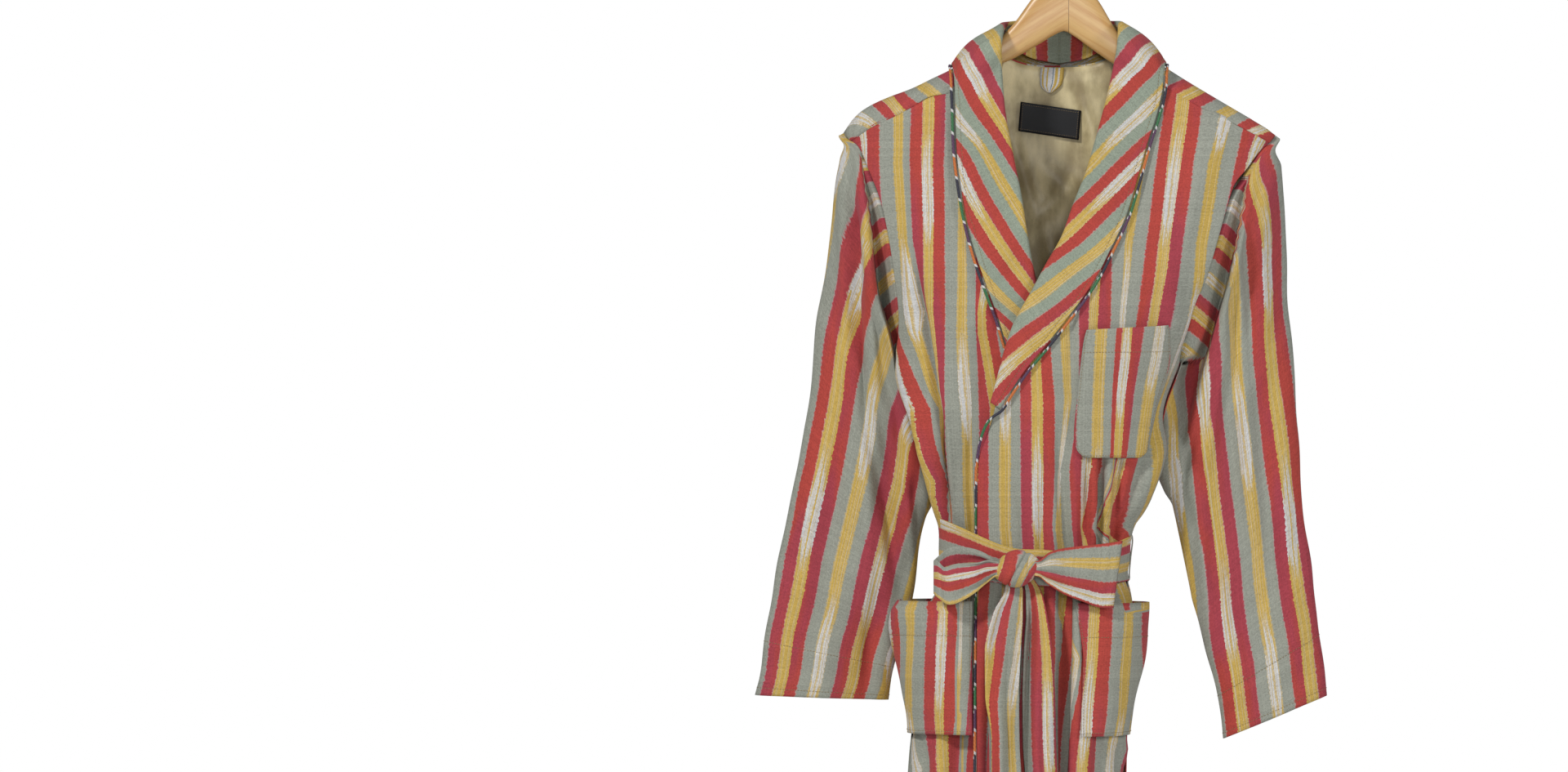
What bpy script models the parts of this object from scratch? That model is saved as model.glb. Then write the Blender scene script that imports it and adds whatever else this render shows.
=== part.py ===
"""A striped shawl-collar robe with a tied belt, hanging on a contoured wooden hanger.

Metres, +Z up, the front faces -Y. The origin is the inner top of the hanger's hook.
Side -1 is at negative X (the wearer's right), side +1 at positive X (the wearer's left).
"""
import bisect
import math

import bpy
import numpy as np

# Driving sizes
HANG_X = -0.0085  # the robe hangs a little to one side of the hook
WALL = 0.0014  # doubled cotton cloth
BELT_WALL = 0.0016
SEAM_GAP = 0.0004
HEM_Z = -1.350
UNDERARM_Z = -0.505
ARM_DEPTH = 0.036  # half the armhole's width, front to back
SECTION_POWER = 2.4
BELT_HEIGHT = 0.064
BELT_Z = -0.7145
BELT_OUT = 0.0039
UNDER_INSET = 0.0125
PIPING_RADIUS = 0.0019
HANGER_TILT = 0.045
WIRE_RADIUS = 0.0018
HOOK_RADIUS = 0.020
BACK_COLUMNS = 28
BACK_ROWS = 26
FRONT_COLUMNS = 16
FRONT_ROWS = 26
SLEEVE_COLUMNS = 18
SLEEVE_ROWS = 15

# Columns: z, half width at side -1, half width at side +1 (the shoulder ridge, seen from the front)
RIDGE = {
    -1: ((-0.1480, 0.070), (-0.1610, 0.090), (-0.1791, 0.1143), (-0.1917, 0.1395), (-0.2034, 0.1638),
         (-0.2133, 0.190), (-0.2259, 0.216), (-0.2345, 0.2265), (-0.2430, 0.2310)),
    1: ((-0.1480, 0.068), (-0.1620, 0.090), (-0.1791, 0.1161), (-0.1944, 0.1404), (-0.2101, 0.1665),
        (-0.2250, 0.1917), (-0.2403, 0.2178), (-0.2465, 0.2275), (-0.2520, 0.2325)),
}
# Columns: z, half width of the armhole seam
ARMHOLE = {
    -1: ((-0.2430, 0.2310), (-0.2547, 0.226), (-0.2997, 0.210), (-0.3375, 0.196), (-0.3654, 0.189),
         (-0.4050, 0.182), (-0.4560, 0.1755), (-0.5050, 0.170)),
    1: ((-0.2520, 0.2325), (-0.2600, 0.2277), (-0.2844, 0.216), (-0.3051, 0.2043), (-0.3204, 0.1935),
        (-0.3479, 0.1836), (-0.3753, 0.1746), (-0.4149, 0.1611), (-0.4419, 0.1494), (-0.5050, 0.135)),
}
# Columns: z, half width of the side seam
SIDE = {
    -1: ((-0.505, 0.170), (-0.574, 0.162), (-0.615, 0.1525), (-0.657, 0.138), (-0.688, 0.129),
         (-0.709, 0.127), (-0.748, 0.131), (-0.785, 0.150), (-0.83, 0.158), (-0.89, 0.160),
         (-0.957, 0.166), (-1.10, 0.175), (-1.35, 0.195)),
    1: ((-0.505, 0.135), (-0.574, 0.1125), (-0.615, 0.107), (-0.657, 0.095), (-0.688, 0.0765),
        (-0.709, 0.074), (-0.735, 0.071), (-0.768, 0.080), (-0.83, 0.083), (-0.885, 0.078),
        (-0.957, 0.0735), (-1.10, 0.085), (-1.35, 0.110)),
}
# Columns: z, centre x, depth of the front, depth of the back
DEPTH = (
    (-0.148, 0.0, 0.022, 0.028), (-0.180, 0.0, 0.031, 0.035), (-0.255, 0.0, 0.043, 0.045),
    (-0.350, -0.003, 0.055, 0.055), (-0.450, -0.011, 0.066, 0.062), (-0.550, -0.020, 0.068, 0.062),
    (-0.650, -0.025, 0.062, 0.055), (-0.709, -0.026, 0.058, 0.050), (-0.750, -0.029, 0.060, 0.052),
    (-0.785, -0.034, 0.068, 0.060),
    (-0.850, -0.038, 0.078, 0.070), (-0.957, -0.045, 0.085, 0.078), (-1.350, -0.045, 0.105, 0.100),
)
# The forward shoulder seam. Columns: half width, z
SHOULDER_SEAM = {
    -1: ((0.074, -0.1800), (0.117, -0.2070), (0.1422, -0.2115), (0.1638, -0.2241), (0.190, -0.2376),
         (0.207, -0.2448), (0.2260, -0.2547)),
    1: ((0.074, -0.1790), (0.117, -0.2016), (0.1319, -0.2102), (0.1575, -0.2241), (0.1836, -0.2365),
        (0.2097, -0.2500), (0.2277, -0.2600)),
}
# The top front's fold line and front edge. Columns: z, x
TOP_EDGE = (
    (-0.160, 0.064), (-0.174, 0.061), (-0.205, 0.055), (-0.250, 0.043), (-0.295, 0.030), (-0.331, 0.016),
    (-0.367, 0.003), (-0.399, -0.015), (-0.430, -0.0315), (-0.448, -0.042), (-0.466, -0.051),
    (-0.493, -0.060), (-0.520, -0.067), (-0.556, -0.0765), (-0.592, -0.0846), (-0.619, -0.0895),
    (-0.760, -0.0900), (-1.350, -0.0930),
)
# The under front's fold line and hidden edge. Columns: z, x
UNDER_EDGE = (
    (-0.160, -0.0635), (-0.174, -0.063), (-0.223, -0.0605), (-0.277, -0.051), (-0.322, -0.042),
    (-0.367, -0.035), (-0.417, -0.025), (-0.460, -0.006), (-0.500, 0.016), (-0.560, 0.036),
    (-0.620, 0.040), (-0.700, 0.032), (-0.760, 0.038), (-1.350, 0.050),
)
# Folds pressed into the cloth. Columns: face, x at the waist, x at the hem, width at the waist, width at
# the hem, depth at the waist, depth at the hem, z where the fold runs out above
FOLDS = (
    ("top", -0.055, -0.062, 0.0060, 0.012, 0.004, 0.004, -0.60),
    ("top", -0.020, -0.030, 0.0055, 0.014, 0.005, 0.010, -0.62),
    ("top", 0.006, 0.000, 0.0070, 0.013, 0.008, 0.020, -0.46),
    ("top", 0.027, 0.024, 0.0060, 0.010, 0.007, 0.006, -0.52),
    ("top", 0.047, 0.046, 0.0065, 0.014, 0.009, 0.012, -0.44),
    ("top", 0.062, 0.072, 0.0050, 0.010, 0.006, 0.005, -0.50),
    ("under", -0.118, -0.150, 0.0050, 0.010, 0.005, 0.006, -0.42),
    ("under", -0.104, -0.122, 0.0060, 0.013, 0.009, 0.012, -0.44),
    ("under", -0.088, -0.100, 0.0055, 0.009, 0.006, 0.006, -0.56),
    ("back", -0.110, -0.150, 0.0060, 0.012, 0.007, 0.009, -0.50),
    ("back", -0.082, -0.105, 0.0070, 0.015, 0.010, 0.016, -0.50),
    ("back", -0.052, -0.070, 0.0060, 0.011, 0.007, 0.008, -0.52),
    ("back", -0.024, -0.026, 0.0070, 0.016, 0.010, 0.018, -0.50),
    ("back", 0.004, 0.012, 0.0060, 0.012, 0.008, 0.010, -0.50),
    ("back", 0.030, 0.047, 0.0065, 0.014, 0.009, 0.016, -0.51),
    ("back", 0.052, 0.078, 0.0055, 0.010, 0.006, 0.007, -0.54),
)
# Sleeve outlines seen from the front. Columns: half width, z
SLEEVE_OUTER = {
    -1: ((0.2325, -0.2436), (0.2380, -0.2560), (0.2421, -0.2844), (0.2484, -0.3276), (0.2561, -0.3879),
         (0.2682, -0.4563), (0.2736, -0.5112), (0.2961, -0.6462), (0.3060, -0.6975), (0.3150, -0.7533),
         (0.3249, -0.8010), (0.3312, -0.8496), (0.3366, -0.8744)),
    1: ((0.2340, -0.2526), (0.2385, -0.2620), (0.2430, -0.2790), (0.2466, -0.3069), (0.2493, -0.3411),
        (0.2511, -0.3753), (0.2538, -0.4302), (0.2574, -0.4887), (0.2610, -0.5472), (0.2691, -0.6453),
        (0.2727, -0.6939), (0.2799, -0.7515), (0.2862, -0.7893), (0.2916, -0.8370), (0.2961, -0.8748)),
}
SLEEVE_INNER = {
    -1: ((0.1740, -0.5030), (0.1735, -0.5250), (0.1618, -0.5742), (0.1520, -0.6147), (0.1400, -0.6570),
         (0.1476, -0.6777), (0.1539, -0.7065), (0.1602, -0.7560), (0.1701, -0.7992), (0.1800, -0.8289),
         (0.1854, -0.8496), (0.1899, -0.8793)),
    1: ((0.1390, -0.5030), (0.1345, -0.5250), (0.1122, -0.5742), (0.1075, -0.6156), (0.1170, -0.6471),
        (0.1269, -0.6642), (0.1341, -0.7092), (0.1458, -0.7650), (0.1548, -0.7920), (0.1647, -0.8289),
        (0.1719, -0.8613), (0.1782, -0.8973), (0.1818, -0.9225)),
}
# Columns: place down the sleeve 0..1, y of its middle, half depth
SLEEVE_DEPTH = (
    (0.0, 0.000, 0.036), (0.06, 0.004, 0.036), (0.18, 0.020, 0.034), (0.30, 0.027, 0.030),
    (0.5, 0.031, 0.025), (0.75, 0.034, 0.022), (1.0, 0.036, 0.022),
)
# Sleeve creases. Columns: side, place down, place across 0 outer..1 inner, length, width, depth, slant
SLEEVE_CREASES = (
    (-1, 0.16, 0.66, 0.16, 0.16, 0.013, 0.5), (1, 0.14, 0.64, 0.15, 0.16, 0.013, 0.5),
    (-1, 0.45, 0.62, 0.16, 0.12, 0.006, 0.2), (1, 0.48, 0.58, 0.18, 0.12, 0.006, 0.2),
    (-1, 0.74, 0.42, 0.15, 0.14, 0.004, -0.2), (1, 0.72, 0.46, 0.16, 0.13, 0.004, -0.2),
)
# Collar. Columns: roll x, y, z, outer edge x, y, z, inner end x, y, z; y None lies on the front
COLLAR = {
    -1: (
        (0.0005, 0.045, -0.1250, 0.0005, 0.0560, -0.1960, 0.0005, 0.0330, -0.1735),
        (0.0300, 0.042, -0.1255, 0.0500, 0.0530, -0.1930, 0.0270, 0.0305, -0.1690),
        (0.0500, 0.030, -0.1280, 0.0920, 0.0400, -0.1860, 0.0460, 0.0220, -0.1590),
        (0.0600, 0.013, -0.1310, 0.1120, 0.0185, -0.1762, 0.0620, 0.0110, -0.1352),
        (0.0620, -0.012, -0.1360, 0.1185, -0.0060, -0.1755, 0.0650, -0.0110, -0.1410),
        (0.0640, -0.033, -0.1580, 0.1160, -0.0320, -0.1900, 0.0650, -0.0220, -0.1640),
        (0.0635, None, -0.1800, 0.1145, None, -0.2130, 0.0740, None, -0.1850),
        (0.0605, None, -0.2230, 0.1140, None, -0.2400, 0.0740, None, -0.2260),
        (0.0510, None, -0.2770, 0.1125, None, -0.2730, 0.0640, None, -0.2760),
        (0.0420, None, -0.3220, 0.1040, None, -0.3350, 0.0550, None, -0.3240),
        (0.0350, None, -0.3670, 0.0920, None, -0.3850, 0.0460, None, -0.3710),
        (0.0250, None, -0.4170, 0.0780, None, -0.4260, 0.0350, None, -0.4200),
        (0.0060, None, -0.4600, 0.0675, None, -0.4570, 0.0200, None, -0.4610),
        (-0.0160, None, -0.5000, 0.0540, None, -0.4980, 0.0000, None, -0.5010),
        (-0.0270, None, -0.5260, 0.0380, None, -0.5300, -0.0120, None, -0.5270),
    ),
    1: (
        (0.0005, 0.045, -0.1250, 0.0005, 0.0560, -0.1960, 0.0005, 0.0330, -0.1735),
        (0.0300, 0.042, -0.1255, 0.0500, 0.0530, -0.1930, 0.0270, 0.0305, -0.1690),
        (0.0500, 0.030, -0.1275, 0.0920, 0.0400, -0.1860, 0.0460, 0.0220, -0.1590),
        (0.0640, 0.013, -0.1290, 0.1120, 0.0185, -0.1762, 0.0670, 0.0110, -0.1335),
        (0.0660, -0.012, -0.1320, 0.1175, -0.0060, -0.1745, 0.0690, -0.0110, -0.1370),
        (0.0640, -0.033, -0.1580, 0.1150, -0.0320, -0.1860, 0.0650, -0.0220, -0.1640),
        (0.0600, None, -0.1800, 0.1130, None, -0.2050, 0.0720, None, -0.1850),
        (0.0530, None, -0.2120, 0.1060, None, -0.2370, 0.0660, None, -0.2170),
        (0.0430, None, -0.2500, 0.0970, None, -0.2640, 0.0560, None, -0.2540),
        (0.0300, None, -0.2950, 0.0860, None, -0.3030, 0.0430, None, -0.2980),
        (0.0160, None, -0.3310, 0.0740, None, -0.3430, 0.0290, None, -0.3340),
        (0.0030, None, -0.3670, 0.0570, None, -0.3800, 0.0160, None, -0.3710),
        (-0.0150, None, -0.3990, 0.0390, None, -0.4150, -0.0020, None, -0.4040),
        (-0.0315, None, -0.4300, 0.0150, None, -0.4490, -0.0190, None, -0.4360),
        (-0.0420, None, -0.4480, -0.0020, None, -0.4710, -0.0300, None, -0.4540),
        (-0.0510, None, -0.4660, -0.0180, None, -0.4910, -0.0400, None, -0.4730),
        (-0.0600, None, -0.4930, -0.0350, None, -0.5110, -0.0510, None, -0.4980),
        (-0.0670, None, -0.5200, -0.0510, None, -0.5340, -0.0600, None, -0.5240),
        (-0.0750, None, -0.5500, -0.0650, None, -0.5560, -0.0700, None, -0.5520),
    ),
}
# Hanger outline before its tilt. Columns: half width, top z, bottom z, half depth
HANGER = (
    (0.0, -0.0720, -0.1395, 0.0070), (0.012, -0.0765, -0.1450, 0.0070), (0.0240, -0.0890, -0.1530, 0.0070),
    (0.0378, -0.1060, -0.1620, 0.0072), (0.055, -0.1320, -0.1725, 0.0075), (0.0725, -0.1520, -0.1810, 0.0080),
    (0.0985, -0.1755, -0.1975, 0.0085), (0.1228, -0.1920, -0.2130, 0.0100), (0.148, -0.2062, -0.2260, 0.0110),
    (0.1725, -0.2192, -0.2390, 0.0125), (0.1985, -0.2325, -0.2520, 0.0135), (0.2130, -0.2420, -0.2590, 0.0120),
    (0.2190, -0.2480, -0.2575, 0.0070),
)
COLOURS = {
    "stripe": (0.42, 0.22, 0.16), "collar": (0.40, 0.26, 0.18), "belt": (0.45, 0.33, 0.2),
    "lining": (0.20, 0.19, 0.09), "piping": (0.05, 0.05, 0.09), "label": (0.02, 0.022, 0.026),
    "wood": (0.72, 0.40, 0.11), "steel": (0.55, 0.55, 0.56),
}


def ease(value):
    """0..1 clamped, with soft ends."""
    value = min(1.0, max(0.0, value))
    return value * value * (3 - 2 * value)


PREPARED = {}


def prepare(rows, column, key):
    """A table's places, values and slopes, for a monotone cubic through them."""
    pairs = sorted((row[key], row[column]) for row in rows)
    xs = [p[0] for p in pairs]
    ys = [p[1] for p in pairs]
    slope = [(ys[i + 1] - ys[i]) / (xs[i + 1] - xs[i]) for i in range(len(xs) - 1)]
    lean = [slope[0]]
    for a, b in zip(slope, slope[1:]):
        lean.append(0.0 if a * b <= 0 else 2 * a * b / (a + b))
    lean.append(slope[-1])
    return xs, ys, lean


def smooth(rows, at, column=1, key=0):
    """A table's column at a place in its key column: a monotone cubic, clamped at both ends."""
    if not isinstance(rows, tuple):
        xs, ys, lean = prepare(rows, column, key)
    else:
        name = (id(rows), column, key)
        if name not in PREPARED:
            PREPARED[name] = prepare(rows, column, key)
        xs, ys, lean = PREPARED[name]
    if at <= xs[0]:
        return ys[0]
    if at >= xs[-1]:
        return ys[-1]
    k = bisect.bisect_left(xs, at) - 1
    step = xs[k + 1] - xs[k]
    t = (at - xs[k]) / step
    return (
        ys[k] * (2 * t ** 3 - 3 * t * t + 1) + lean[k] * step * (t ** 3 - 2 * t * t + t)
        + ys[k + 1] * (3 * t * t - 2 * t ** 3) + lean[k + 1] * step * (t ** 3 - t * t)
    )


def arm_top(side):
    return ARMHOLE[side][0][0]


def arm_depth(side, z):
    """Half the armhole's width at a height."""
    top = arm_top(side)
    if z >= top or z <= UNDERARM_Z:
        return 0.0
    return ARM_DEPTH * math.sin(math.pi * (top - z) / (top - UNDERARM_Z)) ** 0.7


def centre_x(z):
    return smooth(DEPTH, z, 1)


def face_depth(face, z):
    return smooth(DEPTH, z, 2 if face == "front" else 3)


def limit(side, z):
    """Half width from x = 0 where the panel ends at a height: ridge, armhole or side seam."""
    if z > arm_top(side):
        return smooth(RIDGE[side], z)
    if z > UNDERARM_Z:
        return smooth(ARMHOLE[side], z)
    return smooth(SIDE[side], z)


def half_width(side, face, z):
    """The section's half width from its own centre, wide enough to pass the armhole's edge."""
    width = limit(side, z) - side * centre_x(z)
    share = arm_depth(side, z) / face_depth(face, z)
    return width / (1 - share ** SECTION_POWER) ** (1 / SECTION_POWER)


SECTIONS = {}


def section(side, face, z):
    """Arc length, x and y along half a section, from its centre to where the panel ends."""
    key = (side, face, round(z, 5))
    if key not in SECTIONS:
        z = key[2]
        wide = half_width(side, face, z)
        deep = face_depth(face, z)
        end = (limit(side, z) - side * centre_x(z)) / wide
        last = math.asin(min(1.0, end) ** (SECTION_POWER / 2))
        angles = np.linspace(0, 1, 90) ** 1.2 * last
        x = centre_x(z) + side * wide * np.sin(angles) ** (2 / SECTION_POWER)
        y = deep * np.cos(angles) ** (2 / SECTION_POWER) * (-1 if face == "front" else 1)
        arc = np.concatenate([[0], np.cumsum(np.hypot(np.diff(x), np.diff(y)))])
        SECTIONS[key] = (arc, x, y)
    return SECTIONS[key]


def on_section(face, s, z):
    """The point at signed arc length s from the section's centre."""
    side = -1 if s < 0 else 1
    arc, x, y = section(side, face, z)
    return float(np.interp(abs(s), arc, x)), float(np.interp(abs(s), arc, y))


def arc_at(face, x, z):
    """The signed arc length of an x on a section."""
    side = -1 if x < centre_x(z) else 1
    arc, xs, _ = section(side, face, z)
    if side < 0:
        return -float(np.interp(-x, -xs, arc))
    return float(np.interp(x, xs, arc))


def arc_end(side, face, z):
    return side * float(section(side, face, z)[0][-1])


def depth_at(face, x, z):
    """y of the cloth at an x and z."""
    side = -1 if x < centre_x(z) else 1
    wide = half_width(side, face, z)
    share = min(1.0, abs(x - centre_x(z)) / wide)
    y = face_depth(face, z) * (1 - share ** SECTION_POWER) ** (1 / SECTION_POWER)
    return -y if face == "front" else y


def outward(face, x, z):
    """The cloth's outward normal at an x and z."""
    step = 0.002
    dx = (depth_at(face, x + step, z) - depth_at(face, x - step, z)) / (2 * step)
    dz = (depth_at(face, x, z + step) - depth_at(face, x, z - step)) / (2 * step)
    sign = -1 if face == "front" else 1
    normal = np.array([-dx, 1.0, -dz]) * sign
    return normal / np.linalg.norm(normal)


def section_normal(face, s, z):
    """The outward normal of a section, level, at an arc length."""
    a = on_section(face, s - 0.001, z)
    b = on_section(face, s + 0.001, z)
    along = np.array([b[0] - a[0], b[1] - a[1]])
    length = np.linalg.norm(along)
    if length < 1e-9:
        return np.array([math.copysign(1, s), 0.0, 0.0])
    along = along / length
    if face == "front":
        return np.array([along[1], -along[0], 0.0])
    return np.array([-along[1], along[0], 0.0])


def fold_depth(face, x, z, edge_room):
    """How far the folds press the cloth inwards; edge_room fades them out at a seam."""
    total = 0.0
    for name, waist_x, hem_x, waist_w, hem_w, waist_d, hem_d, start in FOLDS:
        if name != face or z > start:
            continue
        if z > BELT_Z:
            grow = ease((start - z) / (start - BELT_Z))
            middle = waist_x
            width = waist_w * (1.7 - 0.7 * grow)
            depth = waist_d * grow
        else:
            down = (BELT_Z - z) / (BELT_Z - HEM_Z)
            spread = ease(down * 2.2)
            middle = waist_x + (hem_x - waist_x) * spread
            width = waist_w + (hem_w - waist_w) * spread
            depth = waist_d + (hem_d - waist_d) * spread
        total += depth * math.exp(-(((x - middle) / width) ** 2))
    return total * ease(edge_room)


def shoulder_drop(side, x, z):
    """How far a front row is lifted above level near the shoulder, so that it follows the seam."""
    fade = ease((z - (-0.42)) / 0.165)
    rows = SHOULDER_SEAM[side]
    return fade * (smooth(rows, abs(x)) - rows[-1][1])


def front_point(name, t, row_z):
    """A point of a front panel: t 0 at its inner edge, 1 at the armhole or side seam."""
    top = name == "top"
    side = 1 if top else -1
    edge = TOP_EDGE if top else UNDER_EDGE
    seam = arc_end(side, "front", row_z) - side * SEAM_GAP
    edge_z = row_z + shoulder_drop(side, 0.085, row_z)
    room = (0.006 if row_z > -0.56 else 0.006 * ease((row_z + 0.615) / 0.05)) if top else 0.0105
    inner_x = smooth(edge, edge_z) + side * room
    inner = arc_at("front", inner_x, row_z)
    s = inner + (seam - inner) * t
    x, y = on_section("front", s, row_z)
    drop = shoulder_drop(side, x, row_z)
    z = row_z + drop
    if drop > 1e-6:
        y = depth_at("front", x, z)
    normal = section_normal("front", s, row_z) if drop < 1e-6 else outward("front", x, z)
    near = abs(s - seam) / 0.03
    room_in = ease(abs(s - inner) / 0.02) if top else 1.0
    inward = fold_depth(name, x, z, near) * room_in
    if not top:
        line = smooth(TOP_EDGE, z)
        inset = UNDER_INSET - 0.004 * ease((-0.60 - z) / 0.05)
        under = ease((x - line + 0.050) / 0.036)
        inward += under * (inset + fold_depth("top", x, z, 1.0))
    return np.array([x, y, z]) - normal * inward


def front_rows(name):
    side = 1 if name == "top" else -1
    first = SHOULDER_SEAM[side][-1][1]
    heights = [first - 2 * SEAM_GAP, -0.285, -0.315, -0.345, -0.375, -0.405, -0.435, -0.465, -0.4875, UNDERARM_Z]
    lower = FRONT_ROWS - len(heights)
    heights += [-0.535, -0.565, -0.595, -0.622, -0.648, -0.672, -0.695, -0.72, -0.745, -0.775, -0.81]
    heights += list(np.linspace(-0.86, HEM_Z, max(2, lower - 11 + 2)))
    return heights


def back_top(x):
    """The back's upper edge at an x: z of the ridge, or of the neckline between the shoulders."""
    side = -1 if x < 0 else 1
    wide = abs(x)
    neck = RIDGE[side][0][1] + 0.004
    if wide >= neck:
        rows = RIDGE[side]
        return smooth(rows, wide, 0, 1)
    return -0.176 + 0.0225 * (wide / neck) ** 3.2


def make_mesh(name, points, faces, collection, colour, smooth_shade=True):
    mesh = bpy.data.meshes.new(name)
    mesh.from_pydata([tuple(float(v) for v in p) for p in points], [], faces)
    mesh.validate()
    mesh.update()
    ob = bpy.data.objects.new(name, mesh)
    collection.objects.link(ob)
    for polygon in mesh.polygons:
        polygon.use_smooth = smooth_shade
    ob.data.materials.append(material(name, colour))
    return ob


def material(name, colour):
    made = bpy.data.materials.new(name + "_material")
    made.use_nodes = True
    shader = made.node_tree.nodes["Principled BSDF"]
    shader.inputs["Base Color"].default_value = (*COLOURS[colour], 1)
    shader.inputs["Roughness"].default_value = 0.3 if colour == "steel" else 0.8
    shader.inputs["Metallic"].default_value = 1.0 if colour == "steel" else 0.0
    return made


def sheet(name, grid, collection, colour, thickness=WALL, wrap=False, shift=True, extra=()):
    """An open surface through a grid of points, made solid with a Solidify modifier."""
    rows = len(grid)
    columns = len(grid[0])
    points = [np.array(p, float) for row in grid for p in row]
    faces = []
    for r in range(rows - 1):
        for c in range(columns if wrap else columns - 1):
            n = (c + 1) % columns
            faces.append((r * columns + c, r * columns + n, (r + 1) * columns + n, (r + 1) * columns + c))
    for block in extra:
        base = {}
        for r, row in enumerate(block["grid"]):
            for c, p in enumerate(row):
                if p is None:
                    base[r, c] = block["first"] + c
                else:
                    base[r, c] = len(points)
                    points.append(np.array(p, float))
        for r in range(len(block["grid"]) - 1):
            for c in range(len(block["grid"][0]) - 1):
                faces.append((base[r, c], base[r, c + 1], base[r + 1, c + 1], base[r + 1, c]))
    if shift:
        points = [p + np.array([HANG_X, 0, 0]) for p in points]
    ob = make_mesh(name, points, faces, collection, colour)
    solid = ob.modifiers.new("Solidify", "SOLIDIFY")
    solid.thickness = thickness
    solid.offset = 0
    solid.use_even_offset = True
    return ob


def build_front(name, node, collection):
    grid = []
    for row_z in front_rows(name):
        grid.append([front_point(name, c / FRONT_COLUMNS, row_z) for c in range(FRONT_COLUMNS + 1)])
    if name == "under":
        grid = [list(reversed(row)) for row in grid]
    return sheet(node, grid, collection, "stripe")


def back_point(x_share, row_z):
    """A point of the back below the shoulders; x_share runs -1..1 between the seams."""
    side = -1 if x_share < 0 else 1
    end = arc_end(side, "back", row_z) - side * SEAM_GAP
    s = end * abs(x_share)
    x, y = on_section("back", s, row_z)
    normal = section_normal("back", s, row_z)
    inward = fold_depth("back", x, row_z, abs(s - end) / 0.03)
    return np.array([x, y, row_z]) - normal * inward


def back_shares():
    half = BACK_COLUMNS // 2
    return [(c - half) / half for c in range(BACK_COLUMNS + 1)]


def build_back(collection):
    shares = back_shares()
    first = -0.262
    heights = [first, -0.29, -0.32, -0.35, -0.385, -0.42, -0.455, -0.485, UNDERARM_Z, -0.535, -0.565, -0.6,
               -0.63, -0.66, -0.69, -0.72, -0.75, -0.785, -0.83, -0.89, -0.97, -1.06, -1.16, -1.26, HEM_Z]
    grid = []
    # above the level rows the columns run up to the ridge or the neckline
    base = [back_point(q, first) for q in shares]
    lift = (0.0, 0.16, 0.34, 0.54, 0.74, 0.89, 1.0)
    upper = []
    for share in lift:
        row = []
        for q, low in zip(shares, base):
            side = -1 if q < 0 else 1
            reach = RIDGE[side][-1][1] - 0.0005
            x = math.copysign(reach * abs(q) ** 1.0, q) * share + low[0] * (1 - share)
            top = back_top(math.copysign(min(abs(x), reach), x))
            z = low[2] + (top - low[2]) * share
            y = depth_at("back", x, min(z, back_ridge(x)))
            row.append(np.array([x, y, z]))
        upper.append(row)
    upper.reverse()
    grid = upper + [[back_point(q, z) for q in shares] for z in heights[1:]]
    extra = []
    for side in (-1, 1):
        columns = [c for c, q in enumerate(shares) if q * side > 0 and abs(grid[0][c][0]) >= RIDGE[side][0][1] + 0.004]
        block = []
        for share in (1.0, 0.66, 0.33, 0.0):
            row = []
            for c in columns:
                if share == 0.0:
                    row.append(None)
                    continue
                x, _, top = grid[0][c]
                seam_x = side * min(abs(x), SHOULDER_SEAM[side][-1][0])
                seam = smooth(SHOULDER_SEAM[side], abs(seam_x)) + SEAM_GAP * 2
                seam = min(seam, top - 0.002)
                at_x = x + (seam_x - x) * share
                z = top + (seam - top) * share ** 1.5
                row.append(np.array([at_x, depth_at("front", at_x, z), z]))
            block.append(row)
        extra.append({"grid": block, "first": columns[0]})
    return sheet("back", grid, collection, "stripe", extra=extra)


def back_ridge(x):
    side = -1 if x < 0 else 1
    if abs(x) < RIDGE[side][0][1]:
        return RIDGE[side][0][0]
    return smooth(RIDGE[side], abs(x), 0, 1)


LINES = {}


def along_table(rows, share):
    """A point at a share of the length of a line given as (half width, z) rows."""
    if id(rows) not in LINES:
        lengths = [0.0]
        for a, b in zip(rows, rows[1:]):
            lengths.append(lengths[-1] + math.hypot(b[0] - a[0], b[1] - a[1]))
        LINES[id(rows)] = tuple((length, row[0], row[1]) for length, row in zip(lengths, rows))
    keyed = LINES[id(rows)]
    at = share * keyed[-1][0]
    return smooth(keyed, at, 1), smooth(keyed, at, 2)


def sleeve_point(side, down, turn):
    """A point of a sleeve: down 0..1, turn 0..1 round it from the outer line, front first."""
    ox, oz = along_table(SLEEVE_OUTER[side], down)
    ix, iz = along_table(SLEEVE_INNER[side], down)
    angle = 2 * math.pi * turn
    across = (1 - math.cos(angle)) / 2
    x = ox + (ix - ox) * across
    z = oz + (iz - oz) * across
    middle = smooth(SLEEVE_DEPTH, down, 1)
    deep = smooth(SLEEVE_DEPTH, down, 2)
    bulge = math.copysign(abs(math.sin(angle)) ** 0.8, math.sin(angle))
    y = middle - deep * bulge
    hug = 1 - ease(down / 0.06)
    if hug > 0:
        at = min(max(z, UNDERARM_Z), arm_top(side))
        seam_x = smooth(ARMHOLE[side], at) + 0.0019
        x += hug * (seam_x - x)
        ring_y = arm_depth(side, at) * (-1 if math.sin(angle) > 0 else 1)
        y += hug * (ring_y - y)
    if math.sin(angle) > 0:
        for where, d0, a0, length, width, depth, slant in SLEEVE_CREASES:
            if where != side:
                continue
            dd = (down - d0) / length
            da = (across - a0 - slant * (down - d0)) / width
            y += depth * math.exp(-dd * dd - da * da) * ease(down / 0.05)
    return np.array([side * x, y, z])


def build_sleeve(side, node, collection):
    grid = []
    for r in range(SLEEVE_ROWS + 1):
        down = (r / SLEEVE_ROWS) ** 1.15
        row = [sleeve_point(side, down, c / SLEEVE_COLUMNS) for c in range(SLEEVE_COLUMNS)]
        grid.append(row if side < 0 else list(reversed(row)))
    return sheet(node, grid, collection, "stripe", wrap=True)


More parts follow.
